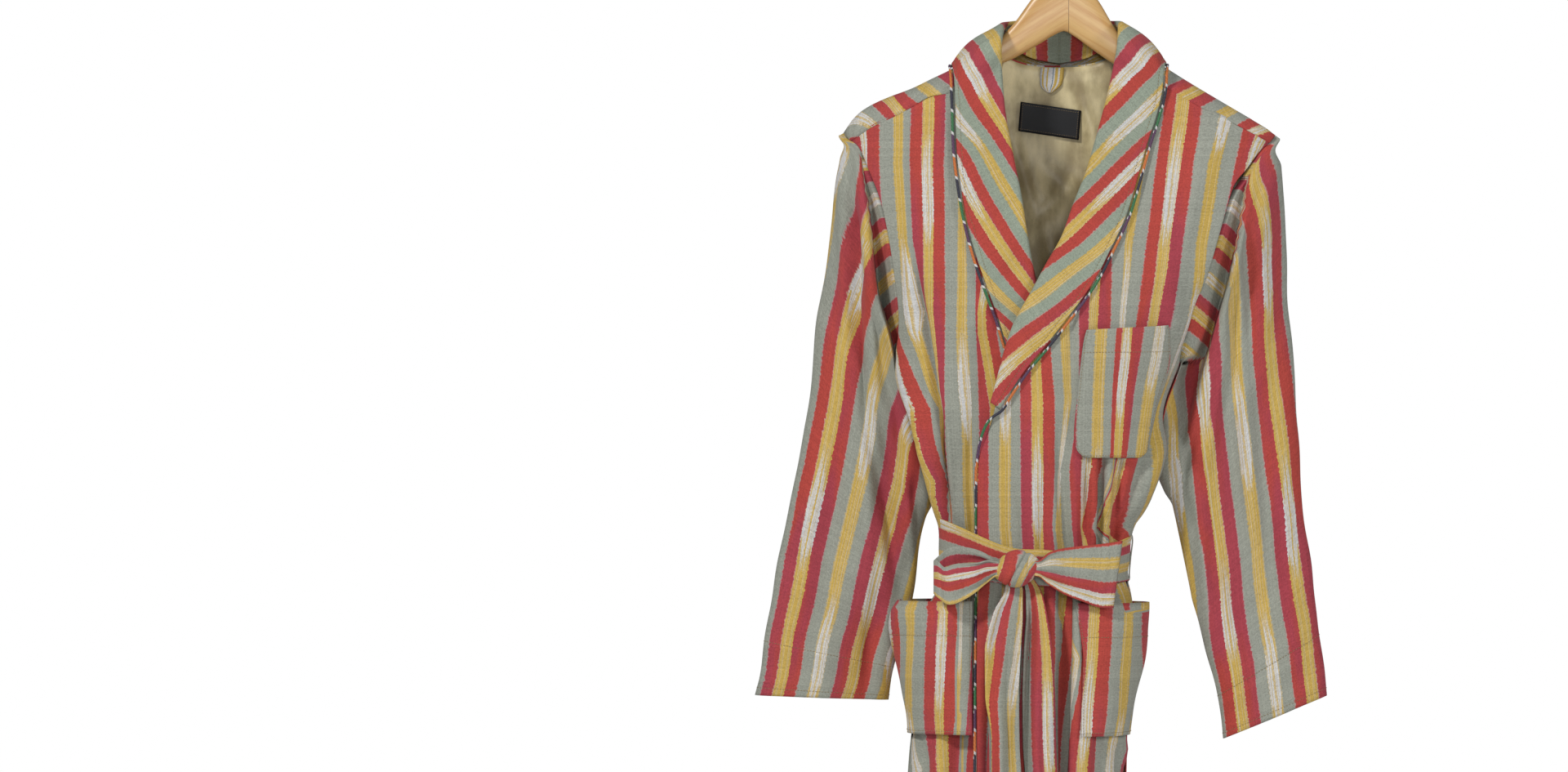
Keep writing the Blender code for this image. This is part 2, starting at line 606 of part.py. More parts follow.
def front_inset(side, x, z):
    """How far the under front lies behind the top front's surface at a place."""
    if side > 0:
        return 0.0
    line = smooth(TOP_EDGE, z)
    inset = UNDER_INSET - 0.004 * ease((-0.60 - z) / 0.05)
    return inset * ease((x - line + 0.050) / 0.036)


def lapel_base(side, x, z, out):
    """A point at a height above the front panel of a side."""
    normal = outward("front", x, z)
    return np.array([x, depth_at("front", x, z), z]) + normal * (out - front_inset(side, x, z))


STATIONS = {}


def collar_station(side, at):
    """Roll, outer edge and inner end at a place along the collar, 0 at the centre back."""
    rows = COLLAR[side]
    k = at * (len(rows) - 1)
    lines = []
    for part, out in ((0, 0.0004), (3, 0.0034), (6, -0.0047)):
        if (side, part) not in STATIONS:
            keyed = []
            for i, row in enumerate(rows):
                x = side * row[part]
                z = row[part + 2]
                if row[part + 1] is None:
                    point = lapel_base(side, x, z, out)
                else:
                    point = np.array([x, row[part + 1], z])
                keyed.append((float(i), *point))
            STATIONS[side, part] = tuple(keyed)
        keyed = STATIONS[side, part]
        lines.append(np.array([smooth(keyed, k, c) for c in (1, 2, 3)]))
    return lines


def collar_point(side, at, across):
    """A point across the collar: 0 at the inner end, the roll at 0.4, 1 at the outer edge."""
    roll, outer, inner = collar_station(side, at)
    count = len(COLLAR[side]) - 1
    fall = outer - roll
    width = np.linalg.norm(fall)
    ahead = collar_station(side, min(1.0, at + 0.01))[0] - collar_station(side, max(0.0, at - 0.01))[0]
    ahead = ahead / np.linalg.norm(ahead)
    out = np.cross(fall / width, ahead) * (-side)
    out = out / np.linalg.norm(out)
    lift = np.cross(ahead, out) * side
    if np.dot(lift, fall) > 0:
        lift = -lift
    radius = min(0.0040, width * 0.2)
    heart = roll - lift * radius * 0.2
    start = heart - lift * radius * 0.8
    if across < 0.3:
        t = across / 0.3
        return inner + (start - out * radius - inner) * t
    if across < 0.5:
        angle = math.pi * (across - 0.3) / 0.2
        return start + radius * (lift * math.sin(angle) * 1.0 - out * math.cos(angle))
    t = (across - 0.5) / 0.5
    place = at * count
    swell = 0.0045 * (1 - ease((place - 5) / 3)) + 0.0012
    point = start + out * radius
    point = point + (outer - point) * t + out * swell * math.sin(math.pi * t)
    return clear_of_body(side, point, ease((place - 6.0) / 1.0))


def clear_of_body(side, point, on_front, room=0.0027):
    """Keeps a point of the collar's fall just outside the panels."""
    x, y, z = point
    if on_front > 0.5:
        base = lapel_base(side, x, z, room)
        return np.array([x, min(y, base[1]), z])
    top = back_ridge(x)
    if z < top and y > 0:
        return np.array([x, max(y, depth_at("back", x, z) + room), z])
    if z < top and y <= 0:
        return np.array([x, min(y, depth_at("front", x, z) - room), z])
    return np.array([x, y, max(z, top + room) if abs(x) > 0.07 else z])


COLLAR_ACROSS = (0.0, 0.27, 0.335, 0.40, 0.465, 0.53, 0.68, 0.84, 1.0)


def build_collar(side, node, collection):
    count = round(1.6 * (len(COLLAR[side]) - 1))
    grid = []
    for r in range(count + 1):
        grid.append([collar_point(side, r / count, a) for a in COLLAR_ACROSS])
    if side > 0:
        grid = [list(reversed(row)) for row in grid]
    return sheet(node, grid, collection, "collar", thickness=0.0016)


def piping_path(side):
    """The cord's centre line: round the collar's edge and, on the top front, down its front edge."""
    points = []
    count = round(1.6 * (len(COLLAR[side]) - 1))
    for r in range(count + 1):
        at = r / count
        edge = collar_point(side, at, 1.0)
        before = collar_point(side, at, 0.9)
        along = (edge - before) / np.linalg.norm(edge - before)
        on_front = ease((at * (len(COLLAR[side]) - 1) - 6.0) / 1.0)
        point = edge + along * (PIPING_RADIUS + 0.0017 + 0.0008 * (1 - on_front))
        points.append(clear_of_body(side, point, on_front, 0.0036))
    if side > 0:
        points.append(lapel_base(1, -0.0755, -0.568, 0.0042))
        points.append(lapel_base(1, -0.0835, -0.583, 0.0038))
        for z in (-0.6020, -0.625, -0.65, -0.70, -0.76, -0.86, -1.0, -1.18, HEM_Z):
            x = smooth(TOP_EDGE, z) - PIPING_RADIUS - SEAM_GAP - 0.0005
            pressed = 0.0036 * ease((-0.64 - z) / 0.03) * ease((z + 0.80) / 0.03)
            point = lapel_base(1, smooth(TOP_EDGE, z), z, 0.0008 - pressed)
            points.append(np.array([x, point[1], z]))
    return points


def tube(name, points, radius, collection, colour, shift=True, resolution=1):
    curve = bpy.data.curves.new(name, "CURVE")
    curve.dimensions = "3D"
    curve.bevel_depth = radius
    curve.bevel_resolution = resolution
    curve.use_fill_caps = True
    line = curve.splines.new("POLY")
    line.points.add(len(points) - 1)
    for at, p in zip(line.points, points):
        at.co = (p[0] + (HANG_X if shift else 0), p[1], p[2], 1)
    line.use_smooth = True
    ob = bpy.data.objects.new(name, curve)
    collection.objects.link(ob)
    curve.materials.append(material(name, colour))
    return ob


def patch_point(face, x, z, out):
    """A point above a front panel: x and z on the panel, moved out along its normal."""
    normal = outward(face, x, z)
    return np.array([x, depth_at(face, x, z), z]) + normal * out


def build_breast_pocket(collection):
    # Columns: z, left x, right x
    rows = ((-0.4700, 0.0300, 0.1180), (-0.4790, 0.0275, 0.1200), (-0.5030, 0.0240, 0.1190),
            (-0.5400, 0.0200, 0.1080), (-0.5850, 0.0160, 0.0980), (-0.6000, 0.0185, 0.0950),
            (-0.6100, 0.0290, 0.0860))
    grid = []
    for z, left, right in rows:
        row = []
        for c in range(10):
            t = c / 9
            x = left + (right - left) * t
            wide = half_width(1, "front", z) * 0.97 + centre_x(z)
            at = z + 0.006 * t * (1 if z > -0.5 else 0)
            gape = 0.006 * math.sin(math.pi * t) * ease((z + 0.54) / 0.06)
            row.append(patch_point("front", min(x, wide), at, 0.0017 + 0.0016 * t + gape))
        grid.append(row)
    return sheet("breast_pocket", grid, collection, "stripe")


def around(side, q, z, out):
    """A point round the side seam: q negative on the front, positive on the back."""
    face = "front" if q < 0 else "back"
    end = arc_end(side, face, z)
    s = end - side * min(abs(q), abs(end))
    x, y = on_section(face, s, z)
    normal = section_normal(face, s, z)
    if abs(q) < 0.004:
        blend = abs(q) / 0.004
        normal = normal * blend + np.array([side, 0, 0]) * (1 - blend)
        normal = normal / np.linalg.norm(normal)
    return np.array([x, y, z]) + normal * out


# Columns: share down the pocket, front q, back q for the two sides
HIP_POCKET = {
    -1: {"front": 0.052, "back": 0.098, "top": -0.768, "gape": 0.030, "gape_at": -0.022},
    1: {"front": 0.097, "back": 0.058, "top": -0.770, "gape": 0.020, "gape_at": -0.030},
}


def build_hip_pocket(side, node, collection):
    size = HIP_POCKET[side]
    grid = []
    for down in (0.0, 0.1, 0.25, 0.45, 0.7, 1.0):
        z = size["top"] - 0.146 * down
        row = []
        for c in range(15):
            t = c / 14
            q = -size["front"] + (size["front"] + size["back"]) * t
            open_up = (1 - ease(down / 0.75)) * size["gape"]
            wide = 0.036
            bump = math.exp(-(((q - size["gape_at"]) / wide) ** 2))
            edge = min(1.0, t / 0.16, (1 - t) / 0.16)
            row.append(around(side, q, z, 0.0030 + open_up * bump * ease(edge)))
        grid.append(row if side < 0 else list(reversed(row)))
    grid = [list(reversed(row)) for row in grid]
    return sheet(node, grid, collection, "stripe")


def build_belt_band(collection):
    """The belt round the waist, one closed ring that narrows to the knot."""
    loops = []
    count = 36
    heights = (0.5, 0.25, 0.0, -0.25, -0.5)
    for h in heights:
        row = []
        for c in range(count):
            side = -1 if c < count / 2 else 1
            share = (c % (count // 2)) / (count // 2)
            front = abs(arc_end(side, "front", BELT_Z))
            back = abs(arc_end(side, "back", BELT_Z))
            total = front + back
            travel = share * total if side < 0 else (1 - share) * total
            q = travel - front
            near = max(0.0, 1 - travel / front)
            tall = BELT_HEIGHT * (1 - 0.38 * ease(near * 1.15))
            middle = -0.7130 - 0.018 * ease(near * 1.1)
            z = middle + tall * h
            end = abs(arc_end(side, "front" if q < 0 else "back", z))
            reach = front if q < 0 else back
            scaled = q * end / reach
            crease = 0.0008 * math.sin(h * 9 + 4 * share) * (1 - near)
            row.append(around(side, scaled, z, BELT_OUT + 0.0008 + crease))
        loops.append(row)
    return sheet("belt_band", loops, collection, "belt", thickness=BELT_WALL, wrap=True)


KNOT = (-0.0464, -0.0793, -0.7315)  # x, y, z of its middle


def build_knot(collection):
    """The wrap of the knot: a flattened ring of cloth about an axis along X."""
    grid = []
    for r in range(7):
        t = r / 6
        x = KNOT[0] - 0.0215 + 0.043 * t
        pinch = 0.84 + 0.16 * math.sin(math.pi * t)
        row = []
        for c in range(16):
            angle = 2 * math.pi * c / 16
            y = KNOT[1] + 0.0115 * pinch * math.cos(angle)
            z = KNOT[2] + 0.0205 * pinch * math.sin(angle) - 0.004 * (t - 0.5)
            row.append(np.array([x + 0.0020 * math.sin(angle), y, z]))
        grid.append(row)
    return sheet("belt_knot", grid, collection, "belt", thickness=0.0026, wrap=True)


# Bow loops. Columns: share out, x, z of the middle, height, y of the outer layer, y of the inner layer
BOW = {
    -1: ((0.0, -0.0655, -0.7315, 0.016, -0.0846, -0.0740), (0.07, -0.0700, -0.7315, 0.017, -0.0850, -0.0736),
         (0.2, -0.0790, -0.7315, 0.028, -0.0878, -0.0728), (0.4, -0.0930, -0.7340, 0.042, -0.0918, -0.0698),
         (0.65, -0.1100, -0.7375, 0.054, -0.0918, -0.0668), (0.85, -0.1240, -0.7400, 0.061, -0.0888, -0.0673),
         (1.0, -0.1370, -0.7410, 0.064, -0.0778, -0.0778)),
    1: ((0.0, -0.0272, -0.7315, 0.016, -0.0846, -0.0740), (0.07, -0.0225, -0.7315, 0.017, -0.0850, -0.0736),
        (0.2, -0.0120, -0.7315, 0.034, -0.0858, -0.0733), (0.4, 0.0060, -0.7340, 0.050, -0.0838, -0.0728),
        (0.65, 0.0300, -0.7370, 0.062, -0.0798, -0.0718), (0.85, 0.0500, -0.7390, 0.071, -0.0763, -0.0698),
        (1.0, 0.0640, -0.7380, 0.074, -0.0703, -0.0703)),
}


def build_bow_loop(side, node, collection):
    """A loop of the bow: out along the front layer, round its end, back along the other."""
    rows = BOW[side]
    shares = (0.0, 0.1, 0.25, 0.4, 0.55, 0.7, 0.82, 0.91, 0.97, 1.0)
    path = []
    for s in shares:
        path.append((s, 4))
    for s in reversed(shares[:-1]):
        path.append((s, 5))
    grid = []
    for h in (0.5, 0.3, 0.1, -0.1, -0.3, -0.5):
        row = []
        for s, layer in path:
            x = smooth(rows, s, 1)
            z = smooth(rows, s, 2)
            tall = smooth(rows, s, 3)
            y = smooth(rows, s, layer)
            if s > 0.9:
                out = smooth(rows, 0.9, layer)
                tip = smooth(rows, 1.0, layer)
                turn = (s - 0.9) / 0.1
                y = tip + (out - tip) * math.sqrt(max(0.0, 1 - turn * turn))
            curl = 0.003 * math.cos(h * 7) * (1 if layer == 4 else -1) * ease((1 - s) * 3)
            lean = 0.010 * h * ease(s) * (1 if side > 0 else -1)
            row.append(np.array([x + lean, y - curl * ease(s * 4), z + tall * h]))
        grid.append(row)
    if side > 0:
        grid = [list(reversed(row)) for row in grid]
    return sheet(node, grid, collection, "belt", thickness=BELT_WALL)


# Tails. Columns: z, left x, right x, height above the front
TAIL = {
    -1: ((-0.7330, -0.0570, -0.0480, 0.0068), (-0.7560, -0.0600, -0.0400, 0.0072), (-0.7800, -0.0720, -0.0400, 0.0090),
         (-0.8200, -0.0815, -0.0420, 0.0100), (-0.8700, -0.0810, -0.0440, 0.0100), (-0.9200, -0.0740, -0.0435, 0.0100),
         (-0.9800, -0.0740, -0.0400, 0.0100), (-1.0400, -0.0770, -0.0390, 0.0100), (-1.0980, -0.0790, -0.0370, 0.0100)),
    1: ((-0.7330, -0.0445, -0.0360, 0.0068), (-0.7560, -0.0370, -0.0200, 0.0072), (-0.7800, -0.0360, -0.0140, 0.0090),
        (-0.8200, -0.0385, -0.0080, 0.0100), (-0.8700, -0.0400, -0.0050, 0.0100), (-0.9200, -0.0395, -0.0040, 0.0100),
        (-0.9800, -0.0355, -0.0010, 0.0100), (-1.0600, -0.0330, 0.0020, 0.0100), (-1.1280, -0.0310, 0.0040, 0.0100)),
}


def tail_surface(x, z, out):
    """Above the front, without its folds."""
    return np.array([x, depth_at("front", x, z) - out, z])


def build_tail(side, node, collection):
    rows = TAIL[side]
    grid = []
    heights = [-0.733, -0.742, -0.756, -0.775, -0.80, -0.83, -0.865, -0.905, -0.95, -1.0, -1.05, rows[-1][0]]
    for z in heights:
        left = smooth(rows, z, 1)
        right = smooth(rows, z, 2)
        out = smooth(rows, z, 3)
        fold = ease((-0.745 - z) / 0.05)
        row = []
        for t in (0.0, 0.2, 0.4, 0.6, 0.8, 0.95, 1.0):
            x = right + (left - right) * t
            wave = 0.0022 * math.sin(5.2 * t + 9 * z * side) * fold
            row.append(tail_surface(x, z, out + wave))
        # the returned edge behind the front layer
        if side < 0:
            row.append(tail_surface(left - 0.0012 * fold, z, out - 0.0022 * fold))
            row.append(tail_surface(left + 0.006 * fold, z, out - 0.0046 * fold))
            row.append(tail_surface(left + 0.016 * fold + 0.0005, z, out - 0.0046 * fold - 0.0002))
        grid.append(row)
    if side < 0:
        grid = [row[:7] for row in grid]
    grid = [list(reversed(row)) for row in grid]
    return sheet(node, grid, collection, "belt", thickness=BELT_WALL)


def build_carrier(collection):
    """The belt carrier at the side: a strip over the belt, its ends on the body."""
    path = ((-0.6700, 0.0032), (-0.6760, 0.0036), (-0.6800, 0.0072), (-0.6900, 0.0082), (-0.7150, 0.0082),
            (-0.7400, 0.0082), (-0.7490, 0.0074), (-0.7540, 0.0040), (-0.7620, 0.0036))
    grid = []
    for q in (-0.006, 0.0, 0.006):
        grid.append([around(1, q, z, out) for z, out in path])
    return sheet("belt_carrier", grid, collection, "stripe")


def build_lining(collection):
    """Satin against the inside of the back, from the neck seam down."""
    grid = []
    for r in range(7):
        v = r / 6
        row = []
        for c in range(11):
            x = -0.112 + 0.224 * c / 10
            inner = 0.062 + 0.050 * ease(v * 3)
            x = x * inner / 0.112
            top = back_top(x) - 0.0028
            z = top + (-0.490 - top) * v
            row.append(np.array([x, depth_at("back", x, z) - 0.0030, z]))
        grid.append(row)
    return sheet("lining", grid, collection, "lining", thickness=0.0010)


def build_tab(collection):
    """The hanging tab, a pointed strip below the collar stand."""
    # Columns: z, left x, right x
    rows = ((-0.1785, -0.0200, 0.0055), (-0.188, -0.0220, 0.0050), (-0.1980, -0.0215, 0.0020),
            (-0.2060, -0.0160, -0.0120))
    grid = [[np.array([x, depth_at("back", x, z) - 0.0052, z]) for x in (a, (a + b) / 2, b)] for z, a, b in rows]
    return sheet("hanging_tab", grid, collection, "collar")


def build_label(collection):
    """The label's place, bare, a little tilted."""
    corners = ((-0.0428, -0.2160), (0.0243, -0.2259), (0.0216, -0.2583), (-0.0455, -0.2484))
    grid = []
    for r in range(3):
        row = []
        for c in range(5):
            t = c / 4
            v = r / 2
            top = [corners[0][k] + (corners[1][k] - corners[0][k]) * t for k in (0, 1)]
            low = [corners[3][k] + (corners[2][k] - corners[3][k]) * t for k in (0, 1)]
            x = top[0] + (low[0] - top[0]) * v
            z = top[1] + (low[1] - top[1]) * v
            row.append(np.array([x, depth_at("back", x, z) - 0.0052, z]))
        grid.append(row)
    return sheet("label", grid, collection, "label", thickness=0.0010)


def build_hanger(collection):
    """The contoured wooden hanger: rounded sections lofted from end to end, tilted as it hangs."""
    points = []
    faces = []
    ring = 12
    stations = [(-w, t, b, d) for w, t, b, d in reversed(HANGER)] + list(HANGER[1:])
    for x, top, bottom, deep in stations:
        middle = (top + bottom) / 2
        tall = (top - bottom) / 2
        for c in range(ring):
            angle = 2 * math.pi * (c + 0.5) / ring
            y = deep * math.copysign(abs(math.cos(angle)) ** 0.75, math.cos(angle))
            z = middle + tall * math.copysign(abs(math.sin(angle)) ** 0.75, math.sin(angle))
            turn = HANGER_TILT
            pivot = -0.072
            px = x * math.cos(turn) + (z - pivot) * math.sin(turn)
            pz = pivot + (z - pivot) * math.cos(turn) - x * math.sin(turn)
            points.append((px, y, pz))
    count = len(stations)
    for r in range(count - 1):
        for c in range(ring):
            n = (c + 1) % ring
            faces.append((r * ring + c, r * ring + n, (r + 1) * ring + n, (r + 1) * ring + c))
    faces.append(tuple(reversed(range(ring))))
    faces.append(tuple((count - 1) * ring + c for c in range(ring)))
    return make_mesh("hanger_wood", points, faces, collection, "wood")


def build_hook(collection):
    """The wire hook: an open arc over the origin, with its stem on the hanger's crest."""
    reach = HOOK_RADIUS + WIRE_RADIUS
    points = []
    for k in range(19):
        angle = math.radians(205 - 255 * k / 18)
        points.append((reach * math.cos(angle), 0.0, -HOOK_RADIUS + reach * math.sin(angle)))
    points += [(0.0075, 0.0, -0.0425), (0.0025, 0.0, -0.0475), (0.0, 0.0, -0.0540), (0.0, 0.0, -0.0726)]
    return tube("hanger_hook", points, WIRE_RADIUS, collection, "steel", shift=False, resolution=2)


def clear_scene():
    for ob in list(bpy.data.objects):
        bpy.data.objects.remove(ob, do_unlink=True)


def main():
    clear_scene()
    robe = bpy.data.collections.new("striped_robe")
    bpy.context.scene.collection.children.link(robe)
    build_back(robe)
    build_front("top", "front_left", robe)
    build_front("under", "front_right", robe)
    build_sleeve(-1, "sleeve_right", robe)
    build_sleeve(1, "sleeve_left", robe)
    build_collar(-1, "collar_right", robe)
    build_collar(1, "collar_left", robe)
    tube("piping_right", piping_path(-1), PIPING_RADIUS, robe, "piping")
    tube("piping_left", piping_path(1), PIPING_RADIUS, robe, "piping")
    build_breast_pocket(robe)
    build_hip_pocket(-1, "hip_pocket_right", robe)
    build_hip_pocket(1, "hip_pocket_left", robe)
    build_belt_band(robe)
    build_knot(robe)
    build_bow_loop(-1, "bow_loop_right", robe)
    build_bow_loop(1, "bow_loop_left", robe)
    build_tail(-1, "belt_tail_right", robe)
    build_tail(1, "belt_tail_left", robe)
    build_carrier(robe)
    build_lining(robe)
    build_tab(robe)
    build_label(robe)
    build_hanger(robe)
    build_hook(robe)


main()
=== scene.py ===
"""The striped robe on its hanger, dressed for rendering.

Metres, +Z up, the front faces -Y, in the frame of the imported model. Side -1 is at negative X.
"""
import bisect
import math

import bpy
import numpy as np
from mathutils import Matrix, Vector


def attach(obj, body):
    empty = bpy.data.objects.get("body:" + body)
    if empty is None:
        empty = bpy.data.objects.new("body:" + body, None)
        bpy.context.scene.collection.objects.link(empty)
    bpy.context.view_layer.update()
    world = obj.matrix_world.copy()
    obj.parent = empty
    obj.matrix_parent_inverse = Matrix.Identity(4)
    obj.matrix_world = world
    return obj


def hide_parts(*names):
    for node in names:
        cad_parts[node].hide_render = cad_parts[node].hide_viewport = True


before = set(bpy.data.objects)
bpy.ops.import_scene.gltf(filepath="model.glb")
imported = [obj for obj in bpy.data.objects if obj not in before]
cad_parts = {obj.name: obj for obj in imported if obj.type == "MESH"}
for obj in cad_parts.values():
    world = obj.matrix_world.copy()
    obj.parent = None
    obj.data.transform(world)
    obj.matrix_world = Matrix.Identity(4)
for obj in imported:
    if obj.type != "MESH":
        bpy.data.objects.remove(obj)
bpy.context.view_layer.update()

# Driving sizes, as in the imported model
HANG_X = -0.0085  # the robe hangs a little to one side of the hook
BELT_WALL = 0.0016
CLOTH_WALL = 0.0011
SEAM_GAP = -0.0006  # less than nothing: the scene's panels overlap a little at the seams
HEM_Z = -1.350
HEM_STITCH_Z = HEM_Z + 0.030
SKIRT_Z = -0.80  # below it the panels' rows stand further apart
UNDERARM_Z = -0.505
ARM_DEPTH = 0.036  # half the armhole's width, front to back
SECTION_POWER = 2.4
BELT_HEIGHT = 0.064
BELT_Z = -0.7145
BELT_OUT = 0.0039
UNDER_INSET = 0.0125
PIPING_RADIUS = 0.0019
HANGER_TILT = 0.045
HANGER_TOP_Z = -0.072
WIRE_RADIUS = 0.0018
HOOK_RADIUS = 0.020
GAIN = 0.86  # how far the striped cloth's paints are taken down
PIXEL = 0.0009  # one pixel of the photo, which is 1920 wide
KNOT = (-0.0464, -0.0793, -0.7315)  # x, y, z of its middle


def tenths(table):
    """A table written in tenths of a millimetre (or of a thousandth), in metres (or ones)."""
    if isinstance(table, dict):
        return {key: tenths(value) for key, value in table.items()}
    if isinstance(table, tuple):
        return tuple(tenths(value) for value in table)
    return None if table is None else table / 10000


def stripe_edges(table):
    """Stripes' edges. Rows: z, then runs of a first stripe index and the x of it and of those that follow."""
    return tuple(
        (row[0] / 10000, *((run[0] + k, x / 10000) for run in row[1:] for k, x in enumerate(run[1:])))
        for row in table
    )


# Columns: z, half width (the shoulder ridge, seen from the front)
RIDGE = tenths({
    -1: (
        (-1480, 700), (-1610, 900), (-1791, 1143), (-1917, 1395), (-2034, 1638), (-2133, 1900), (-2259, 2160),
        (-2345, 2265), (-2430, 2310),
    ),
    1: (
        (-1480, 680), (-1620, 900), (-1791, 1161), (-1944, 1404), (-2101, 1665), (-2250, 1917), (-2403, 2178),
        (-2465, 2275), (-2520, 2325),
    ),
})
# Columns: z, half width of the armhole seam
ARMHOLE = tenths({
    -1: (
        (-2430, 2310), (-2547, 2260), (-2997, 2100), (-3375, 1960), (-3654, 1890), (-4050, 1820), (-4560, 1755),
        (-5050, 1700),
    ),
    1: (
        (-2520, 2325), (-2600, 2277), (-2844, 2160), (-3051, 2043), (-3204, 1935), (-3479, 1836), (-3753, 1746),
        (-4149, 1611), (-4419, 1494), (-5050, 1350),
    ),
})
# Columns: z, half width of the side seam
SIDE = tenths({
    -1: (
        (-5050, 1700), (-5740, 1620), (-6150, 1525), (-6570, 1380), (-6880, 1290), (-7090, 1270), (-7480, 1310),
        (-7850, 1500), (-8300, 1580), (-8900, 1600), (-9570, 1660), (-11000, 1750), (-13500, 1950),
    ),
    1: (
        (-5050, 1350), (-5740, 1125), (-6150, 1070), (-6570, 950), (-6880, 765), (-7090, 740), (-7350, 710),
        (-7680, 800), (-8300, 830), (-8850, 780), (-9570, 735), (-11000, 850), (-13500, 1100),
    ),
})
# Columns: z, centre x, depth of the front, depth of the back
DEPTH = tenths((
    (-1480, 0, 220, 280), (-1800, 0, 310, 350), (-2550, 0, 430, 450), (-3500, -30, 550, 550), (-4500, -110, 660, 620),
    (-5500, -200, 680, 620), (-6500, -250, 620, 550), (-7090, -260, 580, 500), (-7500, -290, 600, 520),
    (-7850, -340, 680, 600), (-8500, -380, 780, 700), (-9570, -450, 850, 780), (-13500, -450, 1050, 1000),
))
# The forward shoulder seam. Columns: half width, z
SHOULDER_SEAM = tenths({
    -1: (
        (740, -1800), (1170, -2070), (1422, -2115), (1638, -2241), (1900, -2376), (2070, -2448), (2260, -2547),
    ),
    1: (
        (740, -1790), (1170, -2016), (1319, -2102), (1575, -2241), (1836, -2365), (2097, -2500), (2277, -2600),
    ),
})
# The top front's fold line and front edge. Columns: z, x
TOP_EDGE = tenths((
    (-1600, 640), (-1740, 610), (-2050, 550), (-2500, 430), (-2950, 300), (-3310, 160), (-3670, 30), (-3990, -150),
    (-4300, -315), (-4480, -420), (-4660, -510), (-4930, -600), (-5200, -670), (-5560, -765), (-5920, -846),
    (-6190, -895), (-7600, -900), (-13500, -930),
))
# The under front's fold line and hidden edge. Columns: z, x
UNDER_EDGE = tenths((
    (-1600, -635), (-1740, -630), (-2230, -605), (-2770, -510), (-3220, -420), (-3670, -350), (-4170, -250),
    (-4600, -60), (-5000, 160), (-5600, 360), (-6200, 400), (-7000, 320), (-7600, 380), (-13500, 500),
))
# Folds pressed into the cloth of each panel. Columns: x at the waist, x at the hem, width at the waist, width
# at the hem, depth at the waist, depth at the hem, z where the fold runs out above
FOLDS = tenths({
    'top': (
        (-550, -620, 60, 120, 40, 40, -6000), (-200, -300, 55, 140, 50, 100, -6200), (60, 0, 70, 130, 80, 200, -4600),
        (270, 240, 60, 100, 70, 60, -5200), (470, 460, 65, 140, 90, 120, -4400), (620, 720, 50, 100, 60, 50, -5000),
    ),
    'under': (
        (-1180, -1500, 50, 100, 50, 60, -4200), (-1040, -1220, 60, 130, 90, 120, -4400),
        (-880, -1000, 55, 90, 60, 60, -5600),
    ),
    'back': (
        (-1100, -1500, 60, 120, 70, 90, -5000), (-820, -1050, 70, 150, 100, 160, -5000),
        (-520, -700, 60, 110, 70, 80, -5200), (-240, -260, 70, 160, 100, 180, -5000),
        (40, 120, 60, 120, 80, 100, -5000), (300, 470, 65, 140, 90, 160, -5100), (520, 780, 55, 100, 60, 70, -5400),
    ),
})
# Sleeve outlines seen from the front. Columns: half width, z
SLEEVE_OUTER = tenths({
    -1: (
        (2325, -2436), (2380, -2560), (2421, -2844), (2484, -3276), (2561, -3879), (2682, -4563), (2736, -5112),
        (2961, -6462), (3060, -6975), (3150, -7533), (3249, -8010), (3312, -8496), (3366, -8744),
    ),
    1: (
        (2340, -2526), (2385, -2620), (2430, -2790), (2466, -3069), (2493, -3411), (2511, -3753), (2538, -4302),
        (2574, -4887), (2610, -5472), (2691, -6453), (2727, -6939), (2799, -7515), (2862, -7893), (2916, -8370),
        (2961, -8748),
    ),
})
SLEEVE_INNER = tenths({
    -1: (
        (1740, -5030), (1735, -5250), (1618, -5742), (1520, -6147), (1400, -6570), (1476, -6777), (1539, -7065),
        (1602, -7560), (1701, -7992), (1800, -8289), (1854, -8496), (1899, -8793),
    ),
    1: (
        (1390, -5030), (1345, -5250), (1122, -5742), (1075, -6156), (1170, -6471), (1269, -6642), (1341, -7092),
        (1458, -7650), (1548, -7920), (1647, -8289), (1719, -8613), (1782, -8973), (1818, -9225),
    ),
})
# Columns: place down the sleeve 0..1, y of its middle, half depth
SLEEVE_DEPTH = tenths((
    (0, 0, 360), (600, 40, 360), (1800, 200, 340), (3000, 270, 300), (5000, 310, 250), (7500, 340, 220),
    (10000, 360, 220),
))
# Sleeve creases. Columns: share down, share across from the outer line, length, width, depth into the sleeve,
# slant
SLEEVE_CREASES = tenths({
    -1: (
        (1600, 6600, 1600, 1600, 130, 5000), (4500, 6200, 1600, 1200, 60, 2000), (7400, 4200, 1500, 1400, 40, -2000),
        (3000, 3000, 1000, 500, 22, 3000), (3600, 7400, 900, 500, 40, -3500), (4400, 8600, 700, 500, 40, -5000),
        (5800, 7800, 1200, 500, 30, 2500), (6600, 9000, 1000, 500, 40, -2000), (8400, 8000, 1000, 500, 30, 1000),
        (5500, 3600, 1400, 800, -18, 1000), (2200, 5200, 900, 500, -30, 6000),
    ),
    1: (
        (1400, 6400, 1500, 1600, 130, 5000), (4800, 5800, 1800, 1200, 60, 2000), (7200, 4600, 1600, 1300, 40, -2000),
        (2800, 3400, 1000, 600, 24, 3000), (3500, 8000, 900, 500, 36, -3000), (4600, 8800, 800, 500, 40, -4000),
        (6200, 8000, 1200, 600, 26, 2000), (7200, 3000, 1200, 700, 18, -1000), (5600, 4000, 1400, 800, -18, 1000),
        (2000, 5000, 900, 500, -30, 6000), (9000, 6200, 800, 700, 20, 1000),
    ),
})
